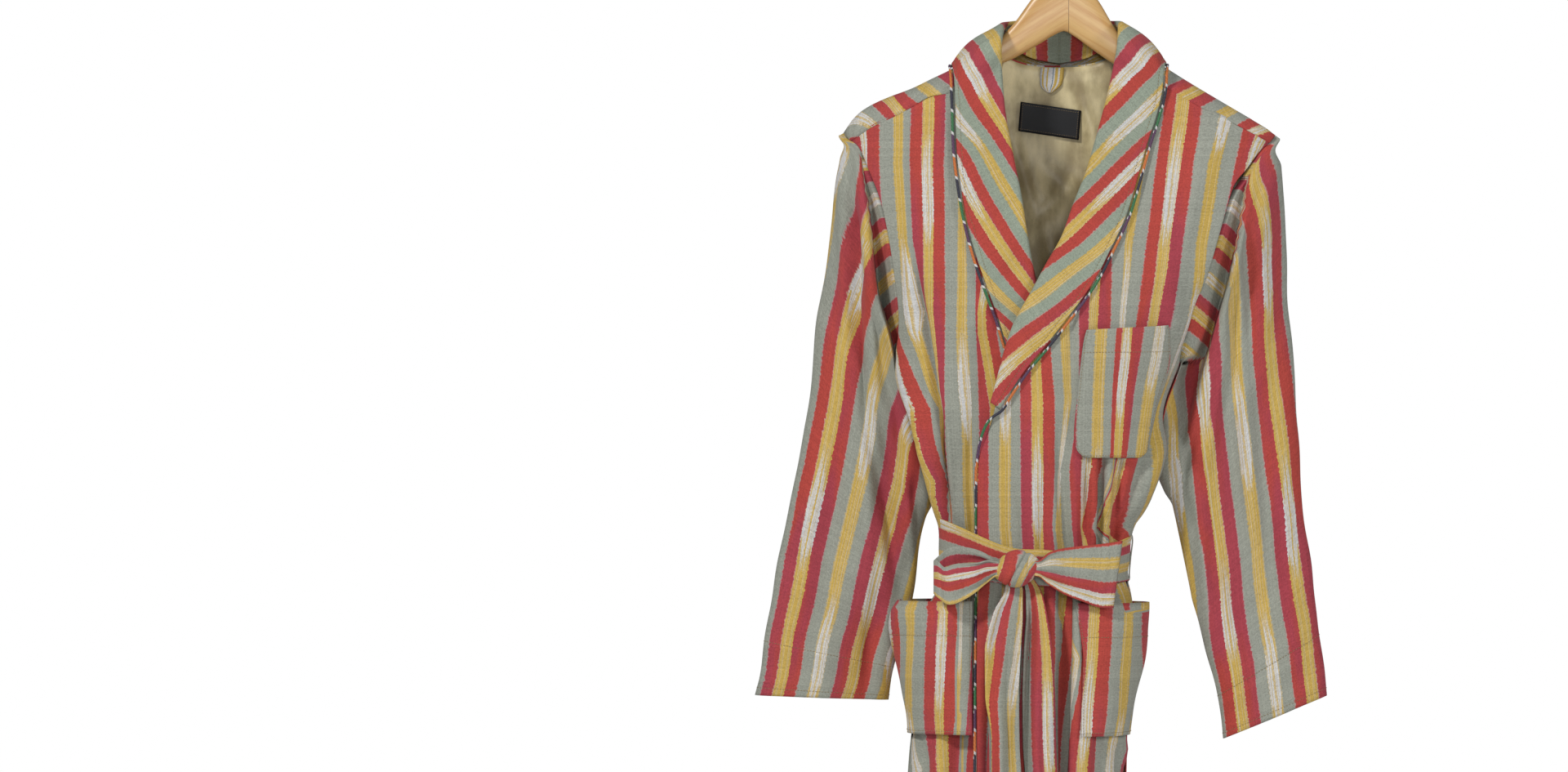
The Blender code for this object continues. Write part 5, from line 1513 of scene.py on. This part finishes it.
def build_sleeve(side, node, made):
    rows = 84
    columns = 84
    grid = []
    for r in range(rows + 1):
        down = (r / rows) ** 1.15
        # from the underarm seam round the back to the outer line and over the front
        grid.append([sleeve_point(side, down, 0.5 + c / columns) for c in range(columns + 1)])
    grid = finer(np.array(grid), 2, 2)
    columns = grid.shape[1] - 1
    half = columns // 2
    # the sleeve head stands out to the shoulder's point
    round_cosine = np.cos(2 * math.pi * (0.5 + np.arange(columns + 1) / columns))
    outer = (1 + round_cosine) / 2
    head = np.exp(-(((grid[..., 2] - arm_top(side)) / 0.020) ** 2))
    head *= np.clip(np.linspace(0, 1, len(grid)) ** 1.15 / 0.007, 0, 1)[:, None]
    grid[..., 0] += side * 0.0085 * outer ** 2 * head
    # the front falls over the underarm in one fold
    x = np.abs(grid[..., 0])
    z = grid[..., 2]
    fold_x = smooth_all(ARM_FOLD[side], z, 1)
    fold_y = smooth_all(ARM_FOLD[side], z, 2)
    hole = smooth_all(ARMHOLE[side], np.clip(z, UNDERARM_Z, arm_top(side)), 1)
    front = np.zeros(z.shape, bool)
    front[:, half:] = True
    share = np.clip((fold_x - x) / 0.0035, 0, 1) * front
    share = share * share * (3 - 2 * share)
    # the cloth behind the fold starts level at the seam and sinks towards the fold
    near = np.clip((x - hole) / np.maximum(fold_x - hole, 0.004), 0, 1)
    near = np.where(z > UNDERARM_Z, near, 1.0)
    grid[..., 1] += share * fold_y * near
    crest = np.exp(-(((x - fold_x - 0.0035) / 0.006) ** 2)) * front * (np.minimum(fold_y, 0.026) / 0.014)
    grid[..., 1] -= crest * 0.0035
    # the underarm lies against the body's side
    inner = np.clip((-round_cosine - 0.2) / 0.5, 0, 1)
    middle, size, tall = TUCKS[side]
    grid[..., 0] -= side * size * inner * np.exp(-(((z - middle) / tall) ** 2))
    out = facing(grid, len(grid) // 2, half + half // 2)
    room = np.clip((np.linspace(0, 1, len(grid)) - 0.04) / 0.08, 0, 1)[:, None] * np.ones(columns + 1)
    pressed = creased(grid, out, SLEEVE_FOLDS[side], 1.55)
    grid = grid + (pressed - grid) * (room * front * (1 - share))[..., None]
    moved = ripples(grid, out, 41 + side, 0.0007, room)
    index = np.zeros(z.shape)
    for r in range(len(grid)):
        run = run_lengths(grid[r])
        s = run - run[half]
        gone = np.maximum.accumulate(x[r, half] - x[r, half:])
        d4 = smooth(SLEEVE_STRIPE[side], float(grid[r, half, 2]))
        index[r, :half] = 4 + (s[:half] - d4) / STRIPE
        flat = 0.15 * s[half:] + 0.85 * gone
        index[r, half:] = 4 + (flat - d4) / STRIPE
    down = run_lengths(grid[:, half + half // 2])[:, None] * np.ones(columns + 1)
    x0, z0 = BAND_START[side]
    flat_index = 5.5 + (z0 + 0.85 * abs(x0) - moved[..., 2] - 0.85 * np.abs(moved[..., 0])) / (1.31 * STRIPE)
    flat_v = 0.7 + np.abs(moved[..., 0])
    swap = (share > 0.55) & (z > -0.50)
    u = np.where(swap, flat_index, index)
    v = np.where(swap, flat_v, down + 0.31)
    # a lip inside the armhole closes the seam
    lip = moved[:1].copy()
    lip[..., 0] -= side * 0.0065
    lip[..., 1] -= np.sign(lip[..., 1] - lip[..., 1].mean()) * 0.0016
    closed, u, v = (np.concatenate([first, all_rows]) for first, all_rows in ((lip, moved), (u[:1], u), (v[:1], v)))
    cloth("robe_" + node, closed[:, :-1], u, v, made, node, wrap=True)
    run = run_lengths(moved[:, half])
    cuff = 0.062 if side < 0 else 0.070
    for row in (nearest(run, run[-1] - cuff), len(moved) - 3):
        stitch("cuff_stitches", *line_on(moved, out, row=row))


def build_collar(side, node, made):
    count = 96
    steps = np.concatenate([np.linspace(0, 0.3, 7, endpoint=False), np.linspace(0.3, 0.5, 9, endpoint=False),
                            np.linspace(0.5, 1.0, 21)])
    grid = np.array([[collar_point(side, r / count, float(a)) for a in steps] for r in range(count + 1)])
    grid[0, :, 0] = -side * 0.0008
    grid = finer(grid, 2, 2)
    roll = nearest(np.interp(np.linspace(0, 1, grid.shape[1]), np.linspace(0, 1, len(steps)), steps), 0.40)
    out = facing(grid, len(grid) * 2 // 3, -4)
    along = run_lengths(grid[:, roll])
    across = np.stack([run_lengths(row) for row in grid])
    across = across - across[:, roll:roll + 1]
    angle = math.radians(28 if side > 0 else 22.5)
    width = 0.0132 if side > 0 else 0.0121
    raw = (across * math.cos(angle) + along[:, None] * math.sin(angle)) / width
    target = np.array([0.064, -0.2576]) if side > 0 else np.array([-0.0699, -0.294])
    fall = grid[:, roll + 2:]
    off = np.hypot(fall[..., 0] - target[0], fall[..., 2] - target[1])
    r, c = np.unravel_index(int(np.argmin(off)), off.shape)
    index = raw - raw[r, roll + 2 + c] + 2.5
    v = along[:, None] * math.cos(angle) - across * math.sin(angle)
    # the stand behind the neck is cut the other way: its stripes run up and down
    stand = across < -0.003
    index = np.where(stand, 3.0 + along[:, None] / 0.0145, index)
    v = np.where(stand, 0.9 - across, v + 1.4)
    # the edge is turned and stitched: a low ridge, and the cloth eases into it
    wide = across[:, -1:]
    inset = np.exp(-(((across - (wide - 0.0052)) / 0.0011) ** 2))
    moved = grid - out * (inset * (across > 0) * 0.0004)[..., None]
    moved = ripples(moved, out, 51 + side, 0.0005, np.clip(across / 0.02, 0, 1))
    cloth("robe_" + node, moved, index, v, made, node, thickness=0.0013)
    line = []
    outs = []
    for r in range(len(grid)):
        k = nearest(across[r], across[r, -1] - 0.0052)
        line.append(moved[r, k] + out[r, k] * 0.0009)
        outs.append(out[r, k])
    stitch("collar_stitches", line, outs)


def build_breast_pocket(made):
    # Columns: z, left x, right x
    rows = ((-0.4700, 0.0300, 0.1180), (-0.4790, 0.0275, 0.1200), (-0.5030, 0.0240, 0.1190),
            (-0.5400, 0.0200, 0.1080), (-0.5850, 0.0160, 0.0980), (-0.6000, 0.0185, 0.0950),
            (-0.6070, 0.0240, 0.0905), (-0.6100, 0.0290, 0.0860))
    # Columns as for the creases of the fronts
    creases = ((0.030, -0.500, 0.026, -0.590, 0.006, 0.0010), (0.078, -0.495, 0.070, -0.600, 0.008, 0.0012),
               (0.100, -0.500, 0.083, -0.600, 0.006, -0.0010))
    columns = 40
    middle = columns // 2
    grid = []
    arcs = []
    for z in np.linspace(rows[0][0], rows[-1][0], 57):
        z = float(z)
        left = smooth(rows, z, 1)
        right = smooth(rows, z, 2)
        wide = half_width(1, "front", z) * 0.97 + centre_x(z)
        row = []
        arc = []
        for c in range(columns + 1):
            t = c / columns
            x = min(left + (right - left) * t, wide)
            at = z + 0.006 * t * (1 if z > -0.5 else 0) * ease((z + 0.5) / 0.012)
            gape = 0.006 * math.sin(math.pi * t) * ease((z + 0.54) / 0.06)
            edge = min(t, 1 - t) * (right - left)
            puff = 0.0012 * ease(edge / 0.008) * ease((z + 0.61) / 0.01)
            row.append(patch_point(x, at, 0.0024 + 0.0016 * t + gape + puff))
            arc.append(arc_at("front", x, z))
        grid.append(row)
        arcs.append(arc)
    grid = np.array(grid)
    out = facing(grid, 20, middle)
    grid = creased(grid, out, creases)
    index = stripe_index(stripe_lines("front", POCKET_STRIPES), np.array(arcs), grid[..., 2])
    cloth("breast_pocket_patch", grid, index, -grid[..., 2] + 0.9, made, "breast_pocket")
    stitch("pocket_stitches", *line_on(grid, out, row=nearest(grid[:, middle, 2], -0.4945)))
    for column in (1, columns - 1):
        stitch("pocket_stitches", *line_on(grid, out, column=column))
    stitch("pocket_stitches", *line_on(grid, out, row=len(grid) - 2))


def face_lines(table, z):
    """Stripe edges seen from the front at a height: x and index, in order of x."""
    rows = sorted(table, key=lambda row: row[0])
    low = max([row for row in rows if row[0] <= z] or [rows[0]], key=lambda row: row[0])
    high = min([row for row in rows if row[0] >= z] or [rows[-1]], key=lambda row: row[0])
    t = 0.0 if high[0] == low[0] else (z - low[0]) / (high[0] - low[0])
    a = dict(low[1:])
    b = dict(high[1:])
    both = sorted(set(a) & set(b))
    return [a[k] * (1 - t) + b[k] * t for k in both], both


def reach_to_piping(side, z, out):
    """How far round the front from the side seam the piping's edge is, at a height."""
    low, high = 0.04, 0.14
    for _ in range(16):
        reach = (low + high) / 2
        if around(side, -reach, z, out)[0] < PIPING_EDGE_X:
            low = reach
        else:
            high = reach
    return reach


def build_hip_pocket(side, node, made):
    reach, back, mouth_z, gape, closed = HIP_POCKET[side]
    out_by = 0.0033
    columns = 80
    rows = 40
    grid = []
    for down in np.linspace(0, 1, rows):
        down = float(down)
        z = mouth_z - HIP_POCKET_TALL * down
        front = reach or reach_to_piping(side, z, out_by)
        peak = front / (front + back) - (0.07 if side > 0 else 0.0)
        open_up = (1 - ease(down / closed)) * gape
        row = []
        for c in range(columns + 1):
            t = c / columns
            lobe = math.sin(math.pi * (0.5 * t / peak if t < peak else 0.5 + 0.5 * (t - peak) / (1 - peak)))
            row.append(around(side, -front + (front + back) * t, z, out_by + open_up * lobe ** 1.1))
        grid.append(row)
    grid = np.array(grid)
    out = facing(grid, 20, 4)
    index = np.zeros(grid.shape[:2])
    for r in range(rows):
        places, marks = face_lines(TOP_STRIPES if side > 0 else UNDER_STRIPES, float(grid[r, 0, 2]))
        x = grid[r, :, 0]
        far = int(np.argmax(x * side))
        at = np.interp(x[:far + 1], places, marks)
        past = np.where(x[:far + 1] * side > max(p * side for p in places),
                        np.abs(x[:far + 1]) - max(abs(p) for p in places), 0.0)
        index[r, :far + 1] = at + side * past / STRIPE
        run = run_lengths(grid[r])
        index[r, far:] = index[r, far] + side * (run[far:] - run[far]) / STRIPE
    v = -grid[..., 2]
    # pockets bag a little towards their lower edge
    room = np.clip(np.linspace(0, 1, rows) / 0.2, 0, 1)[:, None] * np.ones(columns + 1)
    grid = ripples(grid, out, 61 + side, 0.0010, room)
    cloth(node + "_patch", grid, index, v, made, node, thickness=0.0012)
    mouth_row = nearest(run_lengths(grid[:, 10]), 0.0390)
    for place in ({"row": mouth_row}, {"column": 1}, {"column": columns - 1}, {"row": rows - 2}):
        stitch("pocket_stitches", *line_on(grid, out, lift=0.0009, **place))


def build_belt_band(made):
    count = 192
    steps = 13
    rows = []
    us = []
    for r in range(steps):
        h = 0.5 - r / (steps - 1)
        row = []
        for c in range(count):
            side = -1 if c < count / 2 else 1
            share = (c % (count // 2)) / (count // 2)
            front = abs(arc_end(side, "front", BELT_Z))
            back = abs(arc_end(side, "back", BELT_Z))
            total = front + back
            travel = share * total if side < 0 else (1 - share) * total
            q = travel - front
            near = max(0.0, 1 - travel / front)
            tall = BELT_HEIGHT * (1 - 0.38 * ease(near * 1.15))
            middle = -0.7130 - 0.018 * ease(near * 1.1)
            if side < 0:
                middle += 0.0060 * ease((1 - near) / 0.7)
            else:
                middle -= 0.0080 * ease((1 - near) / 0.7)
                tall *= 1 - 0.22 * ease((1 - near) / 0.7)
            z = middle + tall * h
            end = abs(arc_end(side, "front" if q < 0 else "back", z))
            reach = front if q < 0 else back
            crease = 0.0008 * math.sin(h * 9 + 4 * share) * (1 - near)
            crease += 0.0010 * math.sin(h * 17 + 2.0 + 6 * share) * near
            row.append(around(side, q * end / reach, z, BELT_OUT + 0.0008 + crease))
        rows.append(row)
        us.append([5.9 - 5.0 * (0.5 - h)] * (count + 1))
    grid = np.array(rows)
    run = run_lengths(np.concatenate([grid[6], grid[6][:1]]))
    v = np.tile(run, (steps, 1))
    cloth("belt_band_strip", grid, np.array(us), v, made, "belt_band", thickness=BELT_WALL, wrap=True)


def build_knot(made):
    rows = 45
    columns = 72
    grid = []
    for r in range(rows):
        t = r / (rows - 1)
        x = KNOT[0] - 0.0215 + 0.043 * t
        bulge = math.sin(math.pi * (0.06 + 0.88 * t)) ** 0.55
        row = []
        for c in range(columns):
            angle = 2 * math.pi * c / columns
            turn = math.sin(angle)
            groove = 0.0024 * math.exp(-(((t - 0.50 - 0.13 * turn) / 0.035) ** 2))
            groove += 0.0012 * math.exp(-(((t - 0.78 + 0.10 * turn) / 0.030) ** 2))
            groove += 0.0010 * math.exp(-(((t - 0.17 + 0.05 * turn) / 0.030) ** 2))
            ridge = 0.0012 * math.exp(-(((t - 0.60 - 0.12 * turn) / 0.06) ** 2))
            y = KNOT[1] + (0.0112 * bulge - groove + ridge) * math.cos(angle)
            z = KNOT[2] + (0.0195 * bulge - groove) * turn - 0.005 * (t - 0.5)
            row.append(np.array([x + 0.0042 * turn, y, z]))
        grid.append(row)
    u = np.zeros((rows, columns + 1))
    for r in range(rows):
        t = r / (rows - 1)
        for c in range(columns + 1):
            lean = 0.12 * math.sin(2 * math.pi * c / columns)
            place = t - lean * ease((t - 0.4) / 0.2)
            u[r, c] = np.interp(place, (0.0, 0.13, 0.46, 0.62, 0.64, 0.80, 0.82, 1.0),
                                (5.45, 6.0, 7.0, 7.75, 8.1, 8.95, 10.1, 11.0))
    v = np.tile(0.11 * (np.arange(columns + 1) / columns), (rows, 1))
    cloth("belt_knot_wrap", grid, u, v, made, "belt_knot", thickness=0.0024, wrap=True)


def build_bow_loop(side, node, made):
    rows = BOW[side]
    shares = [float(s) for s in np.concatenate([np.linspace(0, 0.82, 26), np.linspace(0.84, 1.0, 14)])]
    outer_y, inner_y = 4, 5  # columns of the table
    path = [(s, outer_y) for s in shares] + [(s, inner_y) for s in reversed(shares[:-1])]
    steps = 27
    grid = []
    for r in range(steps):
        h = 0.5 - r / (steps - 1)
        row = []
        for s, layer in path:
            x, z, tall, y = (smooth(rows, s, k) for k in (1, 2, 3, layer))
            if s > 0.9:
                out = smooth(rows, 0.9, layer)
                tip = smooth(rows, 1.0, layer)
                turn = (s - 0.9) / 0.1
                y = tip + (out - tip) * math.sqrt(max(0.0, 1 - turn * turn))
            way = 1 if layer == outer_y else -1
            curl = 0.003 * math.cos(h * 7) * way * ease((1 - s) * 3)
            pleat = 0.0012 * math.sin(h * 26 + 1.3) * ease((0.75 - s) / 0.5) * ease(s * 6)
            lean = 0.010 * h * ease(s)
            lift = tall * h
            if side < 0:
                # an open loop: its near layer sags, its end is round
                lift *= math.sqrt(max(0.0, 1 - max(0.0, (s - 0.62) / 0.46) ** 2))
                lean = 0.0
                sag = ease(s * 2) * (1 - ease((s - 0.8) / 0.2))
                if layer == outer_y:
                    lift -= max(0.0, h) * tall * 0.42 * ease(s / 0.35) * (1 - ease((s - 0.86) / 0.14))
                    lift -= 0.004 * sag
                else:
                    lift += 0.003 * sag
            row.append(np.array([x + lean, y - curl * ease(s * 4) - pleat * way, z + lift]))
        grid.append(row)
    down = np.arange(steps) / (steps - 1)
    stripes = 0.75 + 5.45 * down if side > 0 else 3.2 + 5.2 * down
    run = run_lengths(grid[steps // 2])
    u, v = np.meshgrid(stripes, run + 0.37 * (side + 2), indexing="ij")
    cloth(node + "_cloth", grid, u, v, made, node, thickness=BELT_WALL)


def build_tail(side, node, made):
    rows = TAIL[side]
    grid = []
    us = []
    for z in np.linspace(-0.733, rows[-1][0], 90):
        z = float(z)
        left, right, out = (smooth(rows, z, k) for k in (1, 2, 3))
        fold = ease((-0.745 - z) / 0.05)
        row = []
        urow = []
        for t in np.linspace(0, 1, 21):
            t = float(t)
            wave = 0.0042 * math.sin(6.4 * t + 9 * z * side + 0.6) * fold
            wave += 0.0024 * math.sin(13 * t + 14 * z) * fold
            if side > 0:
                # its inner edge is turned back, in the shade
                wave -= 0.45 * out * ease((t - 0.66) / 0.22) * fold
                urow.append(3.2 + 3.0 * (1 - t))
            else:
                urow.append(-1.05 + 3.6 * (1 - t) + 1.0 * ease((-0.80 - z) / 0.12))
            row.append(tail_surface(right + (left - right) * t, z, out + wave))
        grid.append(row)
        us.append(urow)
    grid = np.array(grid)
    cloth(node + "_cloth", grid, np.array(us), -grid[..., 2], made, node, thickness=BELT_WALL)


def build_carrier(made):
    # Columns: z, height above the band's way round the side
    path = ((-0.6880, 0.0012), (-0.6930, 0.0020), (-0.6965, 0.0052), (-0.7040, 0.0066), (-0.7190, 0.0068),
            (-0.7370, 0.0066), (-0.7440, 0.0052), (-0.7480, 0.0020), (-0.7530, 0.0012))
    grid = []
    us = []
    for q in np.linspace(-0.006, 0.006, 7):
        grid.append([around(1, float(q), z, out) for z, out in path])
        us.append([[3.9 + (q + 0.006) / STRIPE * 1.3]] * len(path))
    grid = finer(np.array(grid), 1, 4)
    u = finer(np.array(us), 1, 4)[..., 0]
    cloth("belt_carrier_strip", grid, u, -grid[..., 2], made, "belt_carrier", thickness=0.0013)


def build_lining(made):
    """The back lining as far as it can be seen in the neck, and a little below."""
    # Columns as for the creases of the fronts
    folds = (
        (-0.020, -0.290, 0.030, -0.330, 0.012, 0.0034), (0.030, -0.230, 0.052, -0.300, 0.008, 0.0040),
        (-0.055, -0.250, -0.030, -0.330, 0.008, 0.0034), (-0.010, -0.370, 0.000, -0.460, 0.010, 0.0030),
        (0.012, -0.310, -0.030, -0.350, 0.007, 0.0026), (-0.040, -0.190, 0.040, -0.196, 0.005, 0.0016),
    )
    grid = []
    for v in np.linspace(0, 1, 46):
        v = float(v)
        half = 0.062 + 0.050 * ease(v * 3)
        row = []
        for q in np.linspace(-1, 1, 61):
            x = float(q) * half
            top = back_top(x) - 0.0018
            z = top + (-0.490 - top) * v
            row.append(np.array([x, depth_at("back", x, z) - 0.0030, z]))
        grid.append(row)
    grid = np.array(grid)
    grid = creased(grid, flat_normals(grid), folds, 1.5)
    cloth("lining_satin", grid, grid[..., 0], -grid[..., 2], made, "lining", thickness=0.0008)


def build_tab(made):
    # Columns: z, left x, right x
    rows = ((-0.1785, -0.0200, 0.0055), (-0.1880, -0.0215, 0.0050), (-0.1970, -0.0212, 0.0026),
            (-0.2030, -0.0170, -0.0040), (-0.2064, -0.0115, -0.0090))
    shares = np.linspace(0, 1, 11)
    grid = []
    for z in np.linspace(rows[0][0], rows[-1][0], 19):
        z = float(z)
        left = smooth(rows, z, 1)
        right = smooth(rows, z, 2)
        row = []
        for t in shares:
            x = left + (right - left) * t
            row.append(np.array([x, depth_at("back", x, z) - 0.0054 - 0.0006 * math.sin(math.pi * t), z]))
        grid.append(row)
    grid = np.array(grid)
    u = np.tile(1.0 - shares, (len(grid), 1))
    cloth("hanging_tab_strip", grid, u, -grid[..., 2] + 0.06, made, "hanging_tab", thickness=0.0013)


def build_label(made):
    # x, z of the corners: top left, top right, bottom right, bottom left
    corners = ((-0.0428, -0.2160), (0.0243, -0.2259), (0.0216, -0.2583), (-0.0455, -0.2484))
    grid = []
    for v in np.linspace(0, 1, 13):
        row = []
        for t in np.linspace(0, 1, 25):
            top = [corners[0][k] + (corners[1][k] - corners[0][k]) * t for k in (0, 1)]
            low = [corners[3][k] + (corners[2][k] - corners[3][k]) * t for k in (0, 1)]
            x, z = (float(a + (b - a) * v) for a, b in zip(top, low))
            puff = 0.0008 * math.sin(math.pi * t) * math.sin(math.pi * v)
            row.append(np.array([x, depth_at("back", x, z) - 0.0068 - puff, z]))
        grid.append(row)
    grid = np.array(grid)
    out = flat_normals(grid)
    for place in ({"row": 1}, {"row": 11}, {"column": 1}, {"column": 23}):
        stitch("label_stitches", *line_on(grid, out, lift=0.0006, **place), pitch=0.0026, length=0.0017,
               radius=0.00018)
    cloth("label_patch", grid, grid[..., 0], grid[..., 2], made, "label", thickness=0.0009)


def build_hanger(made):
    ring = 36
    stations = (*((-row[0], *row[1:]) for row in reversed(HANGER)), *HANGER[1:])
    xs = np.linspace(-HANGER[-1][0], HANGER[-1][0], 121)
    verts = []
    for x in xs:
        x = float(x)
        top, bottom, deep = (smooth(stations, x, k) for k in (1, 2, 3))
        middle = (top + bottom) / 2
        tall = (top - bottom) / 2
        for c in range(ring):
            angle = 2 * math.pi * (c + 0.5) / ring
            y = deep * math.copysign(abs(math.cos(angle)) ** 0.75, math.cos(angle))
            z = middle + tall * math.copysign(abs(math.sin(angle)) ** 0.75, math.sin(angle))
            below = z - HANGER_TOP_Z
            px = x * math.cos(HANGER_TILT) + below * math.sin(HANGER_TILT)
            pz = HANGER_TOP_Z + below * math.cos(HANGER_TILT) - x * math.sin(HANGER_TILT)
            verts.append((px, y, pz))
    uv = np.stack(np.meshgrid(xs, np.arange(ring + 1), indexing="ij"), axis=2)
    faces, uvs = quads(len(xs), ring, uv, wrap=True)
    last = (len(xs) - 1) * ring
    faces.append(tuple(reversed(range(ring))))
    faces.append(tuple(last + c for c in range(ring)))
    uvs += [((0, 0),) * ring] * 2
    make_piece("hanger_body", verts, faces, uvs, made, ["hanger_wood"], shift=False)


def build_hook(made):
    reach = HOOK_RADIUS + WIRE_RADIUS
    points = []
    for k in range(55):
        angle = math.radians(205 - 255 * k / 54)
        points.append((reach * math.cos(angle), 0.0, -HOOK_RADIUS + reach * math.sin(angle)))
    points += [(0.0075, 0.0, -0.0425), (0.0025, 0.0, -0.0475), (0.0, 0.0, -0.0540), (0.0, 0.0, -0.0726)]
    tube_piece("hanger_wire_hook", resample(points, 0.0012), WIRE_RADIUS, made, "hanger_hook", 20, shift=False)


def lamp(name, place, aim_z, size, power, tint):
    """A square lamp in front of the robe, aimed at a height on its middle."""
    light = bpy.data.lights.new(name, "AREA")
    light.size = size
    light.energy = power
    light.color = tint
    ob = linked(name, light)
    ob.location = place
    ob.rotation_euler = (Vector((0, 0, aim_z)) - Vector(place)).to_track_quat("-Z", "Y").to_euler()


def studio():
    """World, lamps, floor and camera."""
    scene = bpy.context.scene
    scene.world = bpy.data.worlds.new("studio")
    scene.world.use_nodes = True
    tree = scene.world.node_tree
    back = tree.nodes["Background"]
    back.inputs[0].default_value = (1.0, 1.0, 1.0, 1)
    # the backdrop is blown out to white, the light that it gives is softer
    seen = tree.nodes.new("ShaderNodeLightPath")
    level = tree.nodes.new("ShaderNodeMapRange")
    level.inputs[3].default_value = 0.23
    level.inputs[4].default_value = 1.0
    tree.links.new(seen.outputs["Is Camera Ray"], level.inputs[0])
    tree.links.new(level.outputs[0], back.inputs[1])
    scene.view_settings.view_transform = "Standard"
    scene.view_settings.look = "None"
    lamp("key", (-2.9, -3.4, 2.7), -0.6, 0.7, 182.0, (1.0, 0.99, 0.975))
    lamp("fill", (2.8, -2.2, 0.3), -0.6, 0.9, 39.0, (0.97, 0.98, 1.0))
    lamp("front", (0.2, -4.4, -0.10), -0.5, 0.5, 32.0, (1.0, 1.0, 1.0))
    disc = bpy.data.meshes.new("floor")
    sides, radius, floor_z = 96, 2.6, -1.42
    rim = [(radius * math.cos(2 * math.pi * k / sides), radius * math.sin(2 * math.pi * k / sides), floor_z)
           for k in range(sides)]
    disc.from_pydata([(0, 0, floor_z)] + rim, [], [(0, 1 + k, 1 + (k + 1) % sides) for k in range(sides)])
    disc.materials.append(floor_material("floor_paint"))
    linked("studio_floor", disc)
    # the robe's front is 9 m away and as large as in the photo; its middle lies 337 pixels right of the photo's
    lens = bpy.data.cameras.new("photo_camera")
    lens.sensor_width = 36.0
    lens.lens = 36.0 * 9.0 / (1920 * PIXEL)
    lens.shift_x = -337.0 / 1920
    lens.clip_end = 50
    camera = linked("photo_camera", lens)
    camera.location = (HANG_X, -9.03, -(472.5 + 118) * PIXEL)
    camera.rotation_euler = (math.pi / 2, 0, 0)
    scene.camera = camera


def main():
    studio()
    stripe = stripe_material("woven_stripe", 3.0)
    sleeves = stripe_material("woven_stripe_sleeves", 12.0)
    back = stripe_material("woven_stripe_back", 21.0)
    collar = stripe_material("woven_stripe_collar", 7.0, sage="green_sage")
    belt = stripe_material("woven_stripe_belt", 16.0)
    satin = satin_material("lining_satin")
    cord = cord_material("piping_cord")
    build_back(back)
    build_front("top", "front_left", stripe)
    build_front("under", "front_right", stripe)
    sides = ((-1, "right"), (1, "left"))
    for side, name in sides:
        build_sleeve(side, "sleeve_" + name, sleeves)
    for side, name in sides:
        build_collar(side, "collar_" + name, collar)
    for side, name in sides:
        node = "piping_" + name
        tube_piece(node + "_cord", resample(piping_path(side), 0.0020), 0.0016, cord, node, 14)
    build_breast_pocket(stripe)
    for side, name in sides:
        build_hip_pocket(side, "hip_pocket_" + name, stripe)
    build_belt_band(belt)
    build_knot(belt)
    for side, name in sides:
        build_bow_loop(side, "bow_loop_" + name, belt)
    for side, name in sides:
        build_tail(side, "belt_tail_" + name, belt)
    build_carrier(belt)
    build_lining(satin)
    build_tab(tab_material("tab_weave"))
    build_label(label_material("label_weave"))
    build_hanger(wood_material("waxed_beech"))
    build_hook(steel_material("hook_wire"))
    stitches = finish_stitches(thread_material("sewing_thread"))


main()
